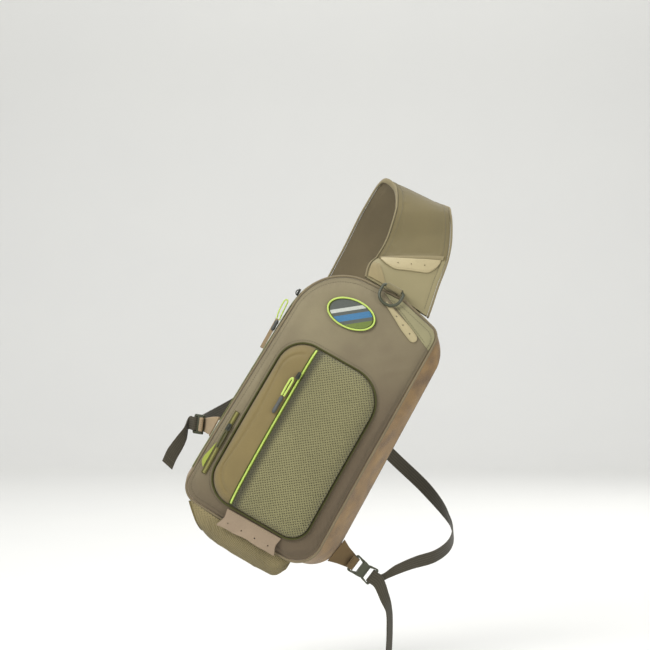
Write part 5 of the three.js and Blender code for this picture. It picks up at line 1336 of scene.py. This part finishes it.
sleeve_grid = np.linspace(0, 1, 110), (1 - np.cos(np.linspace(0, math.pi, 97))) / 2
sleeve_u, sleeve_v = np.meshgrid(*sleeve_grid, indexing="ij")
sleeve_held = (sleeve_v < 0.03) | (sleeve_v > 0.97) | (sleeve_u < 0.01) | (sleeve_u > 0.99)
sleeve_outer = relaxed(
    sleeve_place(sleeve_u, sleeve_v, 0), sleeve_held.astype(float), False, slack=0.02, gravity=1.0, cap=2.5
)
sleeve_inner = sleeve_outer + sleeve_place(sleeve_u, sleeve_v, SLEEVE["wall"]) - sleeve_place(sleeve_u, sleeve_v, 0)
sleeve_uv = np.stack((sleeve_u, sleeve_v), -1) * SLEEVE_FLAT
sleeve = dress(walled("mesh_sleeve_cloth", sleeve_outer, sleeve_inner, sleeve_uv, SLEEVE_MESH), "mesh", "mesh_sleeve")
hem_v = np.linspace(0, 1, 60)
hem_line = sleeve_place(0 * hem_v, hem_v, SLEEVE["wall"] / 2)
hem_way = unit(np.gradient(hem_line, axis=0))
hem_across = square_to(ACROSS, hem_way)
hem_line = hem_line - hem_across * (SLEEVE["hem"] - 0.3)
hem_section = round_section(SLEEVE["hem"], 12)
hem = tube("sleeve_hem_band", hem_line, hem_across, np.cross(hem_across, hem_way), hem_section, SLEEVE_HEM)
dress(hem, "piping", "sleeve_hem")

tab_x = np.linspace(TAB["x0"] + 1.3, TAB["x1"], 12)
tab_line = world([(x, TAB["y"], (TAB["z0"] + TAB["z1"]) / 2) for x in tab_x])
tab_up, tab_out = (np.broadcast_to(way, tab_line.shape) for way in (UP, REAR))
tab_section = band_section(TAB["z1"] - TAB["z0"], TAB["wall"])
dress(tube("upper_tab_cloth", tab_line, tab_up, tab_out, tab_section, TAN_CLOTH), "tan_cloth", "upper_tab")

ring_corners = [
    (-RING["half"], -RING["drop"], 15), (RING["half"], -RING["drop"], 15), (RING["half"], 0, 4), (-RING["half"], 0, 4)
]
ring_flat = outline(ring_corners, 220)
ring_lean = (0, math.sin(RING["lean"]), math.cos(RING["lean"]))
ring_points = world((RING["x"], RING["y"], RING["z"]) + ring_flat @ ((1, 0, 0), ring_lean))
ring = tube("d_ring_bow", *bead_frames(ring_points), round_section(RING["wire"], 16), PLASTIC, True)
dress(ring, "plastic", "d_ring", body="ring")

fold_radius = RING["wire"] + KEEPER["clear"] + KEEPER["wall"] / 2
turn = np.linspace(-math.pi / 2, -3 * math.pi / 2, 24)
leg_y = np.linspace(KEEPER["back"], RING["y"], 14)[:-1]
keeper_y = np.concatenate((leg_y, RING["y"] + fold_radius * np.cos(turn), leg_y[::-1]))
keeper_z = np.concatenate((0 * leg_y - fold_radius, fold_radius * np.sin(turn), 0 * leg_y + fold_radius)) + RING["z"]
keeper_line = world(np.stack((0 * keeper_y + RING["x"], keeper_y, keeper_z), 1))
keeper_across = np.broadcast_to(ACROSS, keeper_line.shape)
keeper_way = unit(np.gradient(keeper_line, axis=0))
keeper_section = band_section(2 * KEEPER["half"], KEEPER["wall"])
keeper_out = np.cross(keeper_across, keeper_way)
keeper = tube("ring_keeper_cloth", keeper_line, keeper_across, keeper_out, keeper_section, KEEPER_CLOTH)
dress(keeper, "tan_cloth", "ring_keeper")

# Shoulder strap


def on_strap(a, place, lift):
    """Points over the strap's upper face: a runs from -1 to 1 across it, place along its stations."""
    a, place, lift = np.broadcast_arrays(*(np.asarray(value, float) for value in (a, place, lift)))
    centre, across, out = station_frames(STRAP, place.ravel())
    width, thick = between(STRAP, place.ravel())[:, 3:5].T
    top = thick * (0.5 - 0.3 * a.ravel() ** 4) + lift.ravel()
    points = centre + across * (a.ravel() * width / 2)[:, None] + out * top[:, None]
    return points.reshape(a.shape + (3,))


strap_places = np.linspace(0, len(STRAP) - 1, 241)
strap_centre, strap_across, strap_out = station_frames(STRAP, strap_places)
strap_width, strap_thick = between(STRAP, strap_places)[:, 3:5].T
strap_way = along_length(strap_centre)


def shoulder_strap():
    """Padded strap: both faces swell between the bindings, the lining below."""
    a = np.sin(np.linspace(-1, 1, 41) * math.pi / 2)[None]
    swell = strap_thick[:, None] * (0.5 - 0.3 * a ** 4)
    edge = (1 - np.abs(a)) * strap_width[:, None] / 2
    uneven = waves(strap_way[:, None], a * 45, 60, 2) * np.clip(edge / 12, 0, 1)
    swell = swell - 0.5 * ridge(edge - STRAP_SEAM, 1.8) + 0.25 * uneven
    side = strap_across[:, None] * (a * strap_width[:, None] / 2)[..., None]
    upper = strap_centre[:, None] + side + strap_out[:, None] * swell[..., None]
    lower = strap_centre[:, None] + side - strap_out[:, None] * swell[..., None]
    held = (edge < 9) | (strap_places[:, None] < 2.1) | (strap_places[:, None] > 9.7)
    upper = relaxed(upper, held.astype(float), False, pressure=2.0, slack=0.01, gravity=0.2, cap=1.2)
    uv = np.stack(np.broadcast_arrays(a * strap_width[:, None] / 2, strap_way[:, None]), -1)
    return walled("shoulder_strap_pad", upper, lower, uv, STRAP_CLOTH)


def under_strap(at, normal):
    nearest = np.argmin(((at[:, None] - strap_centre[None, ::4]) ** 2).sum(-1), 1) * 4
    return (normal * strap_out[nearest]).sum(1) < 0


strap = dress(paint(shoulder_strap(), STRAP_LINING, under_strap), "strap_cloth", "shoulder_strap")
for name, side in (("strap_binding_inner", -1), ("strap_binding_outer", 1)):
    ring = round_section(1, 14)[None]
    offset = side * (strap_width / 2 + CLEAR + BINDING["width"] / 2)
    out = ring[..., 1] * strap_thick[:, None] * BINDING["share"]
    section = np.stack((offset[:, None] + ring[..., 0] * BINDING["width"] / 2, out), -1)
    dress(tube(name + "_band", strap_centre, strap_across, strap_out, section, STRAP_EDGE), "strap_cloth", name)


def strap_trim_place(u, v, lift):
    tall = STRAP_TRIM["tall"] * smooth(STRAP_TRIM_SHAPE, 2 * u - 1)
    return on_strap((2 * u - 1) * STRAP_TRIM["half"], STRAP_TRIM["station"] - tall * (1 - v), DRAPE + lift)


def strap_fold_place(u, v, lift):
    """Folded edge of the upper cover, above the trim."""
    return on_strap((2 * u - 1) * 0.93, STRAP_TRIM["station"] + 0.02 + 0.17 * v, 0.3 + lift)


def base_fold_place(u, v, lift):
    """Pale fold at the strap's left foot, with soft pleats that run together upwards."""
    pleat = 0.5 * (1 + np.sin(13 * u + 2 * v)) * np.sin(math.pi * u) ** 0.5
    return on_strap(-0.985 + u * (0.6 - 0.4 * v), 0.12 + 1.1 * v, 0.3 + pleat + lift)


strap_fold = strip("strap_fold_cloth", strap_fold_place, 95, 6, STRAP_FOLD_WALL, STRAP_EDGE)
dress(strap_fold, "strap_cloth")
row = row_on(strap_fold_place, (0.02, 0.98), 0.5, STRAP_FOLD_WALL)
sewn("strap_fold_stitches", strap_fold, row, PALE_THREAD, LEATHER_LIFT, BAND_STITCH)
dress(strip("strap_base_fold_cloth", base_fold_place, 24, 40, 1.2, PALE_TAN), "tan_cloth")
edge_place = np.linspace(0.15, 9.8, 300)
for name, a in (("inner", -1), ("outer", 1)):
    side_share = a * (1 - 2 * STRAP_SEAM / between(STRAP, edge_place)[:, 3])
    keep = edge_place > (2.05 if a < 0 else 0)
    row = on_strap(side_share[keep], edge_place[keep], 0)
    sewn(f"strap_stitches_{name}", strap, row, OLIVE_THREAD)

strap_trim = strip("strap_trim_leather", strap_trim_place, 88, 28, STRAP_TRIM["wall"], CREAM_LEATHER)
holes = (np.array(STRAP_TRIM["holes"]) / STRAP_TRIM["half"] + 1) / 2
_, _, trim_out = station_frames(STRAP, np.array((STRAP_TRIM["station"],)))
punched(strap_trim, strap_trim_place, holes, 0.5, trim_out[0])
dress(strap_trim, "cream_leather", "strap_trim")
row = row_on(strap_trim_place, (0.02, 0.98), 0.12, STRAP_TRIM["wall"])[STRAP_TRIM["bare"]:]
sewn("strap_trim_stitches", strap_trim, row, PALE_THREAD, LEATHER_LIFT, LEATHER_STITCH)

# Fastenings at the sides


def side_frame(side, sign):
    """Origin and directions of a fastening: away from the bag, out of its face, along the bag."""
    turn = side["turn"]
    travel = (sign * math.cos(turn), math.sin(turn), 0)
    out = (sign * math.sin(turn), -math.cos(turn), 0)
    slope = np.array(Matrix.Rotation(sign * side["pitch"], 3, "Y"))
    return world(side["at"]), *(BAG_TURN @ slope @ np.array(way) for way in (travel, out, (0, 0, 1)))


def turn_about(centre, radius, start, end, steps):
    angle = np.linspace(start, end, steps + 1)
    return [(centre + radius * math.cos(t), radius * math.sin(t)) for t in angle]


def wing(name, side, sign, bar_centre, bar_reach, material, slot, node):
    """Tapered tab from the seam, folded round the first bar of its fitting."""
    origin, travel, out, along = side_frame(side, sign)
    radius = bar_reach + FOLD_CLEAR + WING_WALL / 2
    rows = [(CLEAR, 0, side["root"]), (side["wing"] * 0.45, -0.35 * radius, (side["root"] + side["tip"]) / 2)]
    rows += [(*place, side["tip"]) for place in turn_about(bar_centre, radius, -math.pi / 2, math.pi / 2, 8)]
    rows.append((bar_centre - radius - 2, 0.95 * radius, side["tip"]))
    stations = [[*(origin + travel * x + out * y), width, *along] for x, y, width in rows]
    stations[0][4:] = BAG_TURN @ (math.sin(side["lean"]), 0, math.cos(side["lean"]))
    places = np.linspace(0, len(rows) - 1, 90)
    section = np.stack([band_section(row[3], WING_WALL) for row in between(stations, places)])
    made = dress(tube(name, *station_frames(stations, places), section, material), slot, node)
    across = np.linspace(2.5 - side["tip"] / 2, side["tip"] / 2 - 2.5, 20)[:, None]
    line = origin + travel * (bar_centre - radius) + out * (radius + WING_WALL) + along * across
    sewn(name + "_stitches", made, line, BROWN_THREAD, size=BAND_STITCH)
    return made


lock_start = LEFT_SIDE["wing"]
lock_end = lock_start + 3 * LOCK["bar"] + 2 * LOCK["slot_long"]
bar_reach = math.hypot(LOCK["bar"], LOCK["wall"]) / 2
wing(
    "left_wing_cloth", LEFT_SIDE, -1, lock_start + LOCK["bar"] / 2, bar_reach, TAN_CLOTH, "tan_cloth", "left_wing"
)
female_start = RIGHT_SIDE["wing"]
buckle_reach = math.hypot(BUCKLE["bar"], LOCK["wall"]) / 2
wing(
    "right_wing_cloth", RIGHT_SIDE, 1, female_start + BUCKLE["bar"] / 2, buckle_reach, WING_CLOTH, "gusset_cloth",
    "right_wing",
)


def band_turn(side, sign, centre, radius, start, end, flip):
    """Stations of a band round a bar, in the part's frame."""
    origin, travel, out, along = side_frame(side, sign)
    rows = [(centre + TURN_LEAD, TURN_SPREAD * radius * math.sin(start))]
    rows += turn_about(centre, radius, start, end, 6)
    rows.append((centre + TURN_LEAD, TURN_SPREAD * radius * math.sin(end)))
    return [(*(origin + travel * x + out * y), *(flip * along)) for x, y in rows]


def webbing(name, stations, node, free):
    """Woven band with soft edges and a folded hem at its free end, which is its first row or its last."""
    places = np.linspace(0, len(stations) - 1, 16 * len(stations))
    frames = station_frames(stations, places)
    way = along_length(frames[0])
    way = way if free == 0 else way[-1] - way
    walls = WEBBING["wall"] * np.where(way < WEBBING["hem"], WEBBING["hem_share"], 1)
    section = np.stack([band_section(WEBBING["width"], wall) for wall in walls])
    made = dress(tube(name, *frames, section, WEBBING_CLOTH), "webbing", node)
    for row, from_end in (("near", 3), ("far", 10)):
        centre, across, out = (rows[np.argmin(np.abs(way - from_end))] for rows in frames)
        line = centre + across * np.linspace(-8, 8, 9)[:, None] + out * math.copysign(2, out @ FRONT)
        sewn(f"{name}_stitches_{row}", made, line, OLIVE_THREAD, size=BAND_STITCH)
    return made


band_radius = bar_reach + FOLD_CLEAR + WEBBING["wall"] / 2
lock_turn = band_turn(LEFT_SIDE, -1, lock_end - LOCK["bar"] / 2, band_radius, -math.pi / 2, -1.5 * math.pi, -1)
webbing("main_webbing_band", MAIN_WEBBING_REAR + lock_turn + MAIN_TAIL, "main_webbing", -1)
male_end = female_start + BUCKLE["female"] + BUCKLE["male"]
buckle_turn = band_turn(RIGHT_SIDE, 1, male_end - BUCKLE["bar"] / 2, band_radius, math.pi / 2, 1.5 * math.pi, 1)
webbing("stabiliser_webbing_band", STABILISER_TAIL + buckle_turn + STABILISER_REAR, "stabiliser_webbing", 0)
for node in ("ladder_lock", "buckle_female", "buckle_male"):
    carry(node, PLASTIC, 0.7)

# Stage: a pale seamless floor and soft studio light

FLOOR = {"z": -0.7, "near": -9.0, "curve": 4.8, "radius": 1.6, "half": 9.0, "top": 7.0}


def floor_sheet():
    """Floor that curves up into a backdrop."""
    radius = FLOOR["radius"]
    profile = [(FLOOR["near"], FLOOR["z"])]
    for turn in np.linspace(0, math.pi / 2, 25):
        profile.append((FLOOR["curve"] + radius * math.sin(turn), FLOOR["z"] + radius * (1 - math.cos(turn))))
    profile.append((FLOOR["curve"] + radius, FLOOR["top"]))
    points = [(x, y, z) for x in (-FLOOR["half"], FLOOR["half"]) for y, z in profile]
    count = len(profile)
    faces = [(k, count + k, count + k + 1, k + 1) for k in range(count - 1)]
    mesh = bpy.data.meshes.new("floor")
    mesh.from_pydata(points, [], faces)
    mesh.polygons.foreach_set("use_smooth", [True] * len(mesh.polygons))
    material = bpy.data.materials.new("floor")
    material.use_nodes = True
    tree = material.node_tree
    place = add_node(tree, "TexCoord").outputs["Object"]
    tone = mixed(tree, noise(tree, place, 3.0, 3.0), linear((247, 247, 253)), linear((250, 250, 255)))
    mesh.materials.append(finished(material, tone, 0.9))
    made = bpy.data.objects.new("floor", mesh)
    bpy.context.scene.collection.objects.link(made)
    return made


floor_sheet()


def soft_light(name, at, aim, size, power):
    """Round soft lamp."""
    lamp = bpy.data.lights.new(name, "AREA")
    lamp.shape = "DISK"
    lamp.size = size
    lamp.energy = power
    made = bpy.data.objects.new(name, lamp)
    made.location = at
    made.rotation_euler = (Vector(aim) - Vector(at)).to_track_quat("-Z", "Y").to_euler()
    bpy.context.scene.collection.objects.link(made)


# Lights: place, aim, size, power
LIGHTS = {
    "key": ((-1.7, -2.6, 1.7), (-0.15, -0.1, -0.3), 1.8, 95),
    "fill": ((2.2, -2.6, 0.3), (-0.1, 0, -0.35), 2.2, 32),
    "top": ((-0.1, 0.5, 2.2), (-0.15, 0, -0.3), 2.0, 40),
    "back": ((1.3, 3.0, 1.6), (-0.15, 0, -0.3), 2.0, 30),
    "backdrop": ((0, 2.8, 4.6), (0, 6.4, 0.4), 3.0, 150),
}
for name, settings in LIGHTS.items():
    soft_light(name, *settings)
surround = bpy.data.worlds.new("surround")
surround.use_nodes = True
sky = {"Color": (0.95, 0.97, 1.0, 1), "Strength": 0.45}
fill(surround.node_tree, surround.node_tree.nodes["Background"], sky)
bpy.context.scene.world = surround
bpy.context.scene.view_settings.view_transform = "Standard"
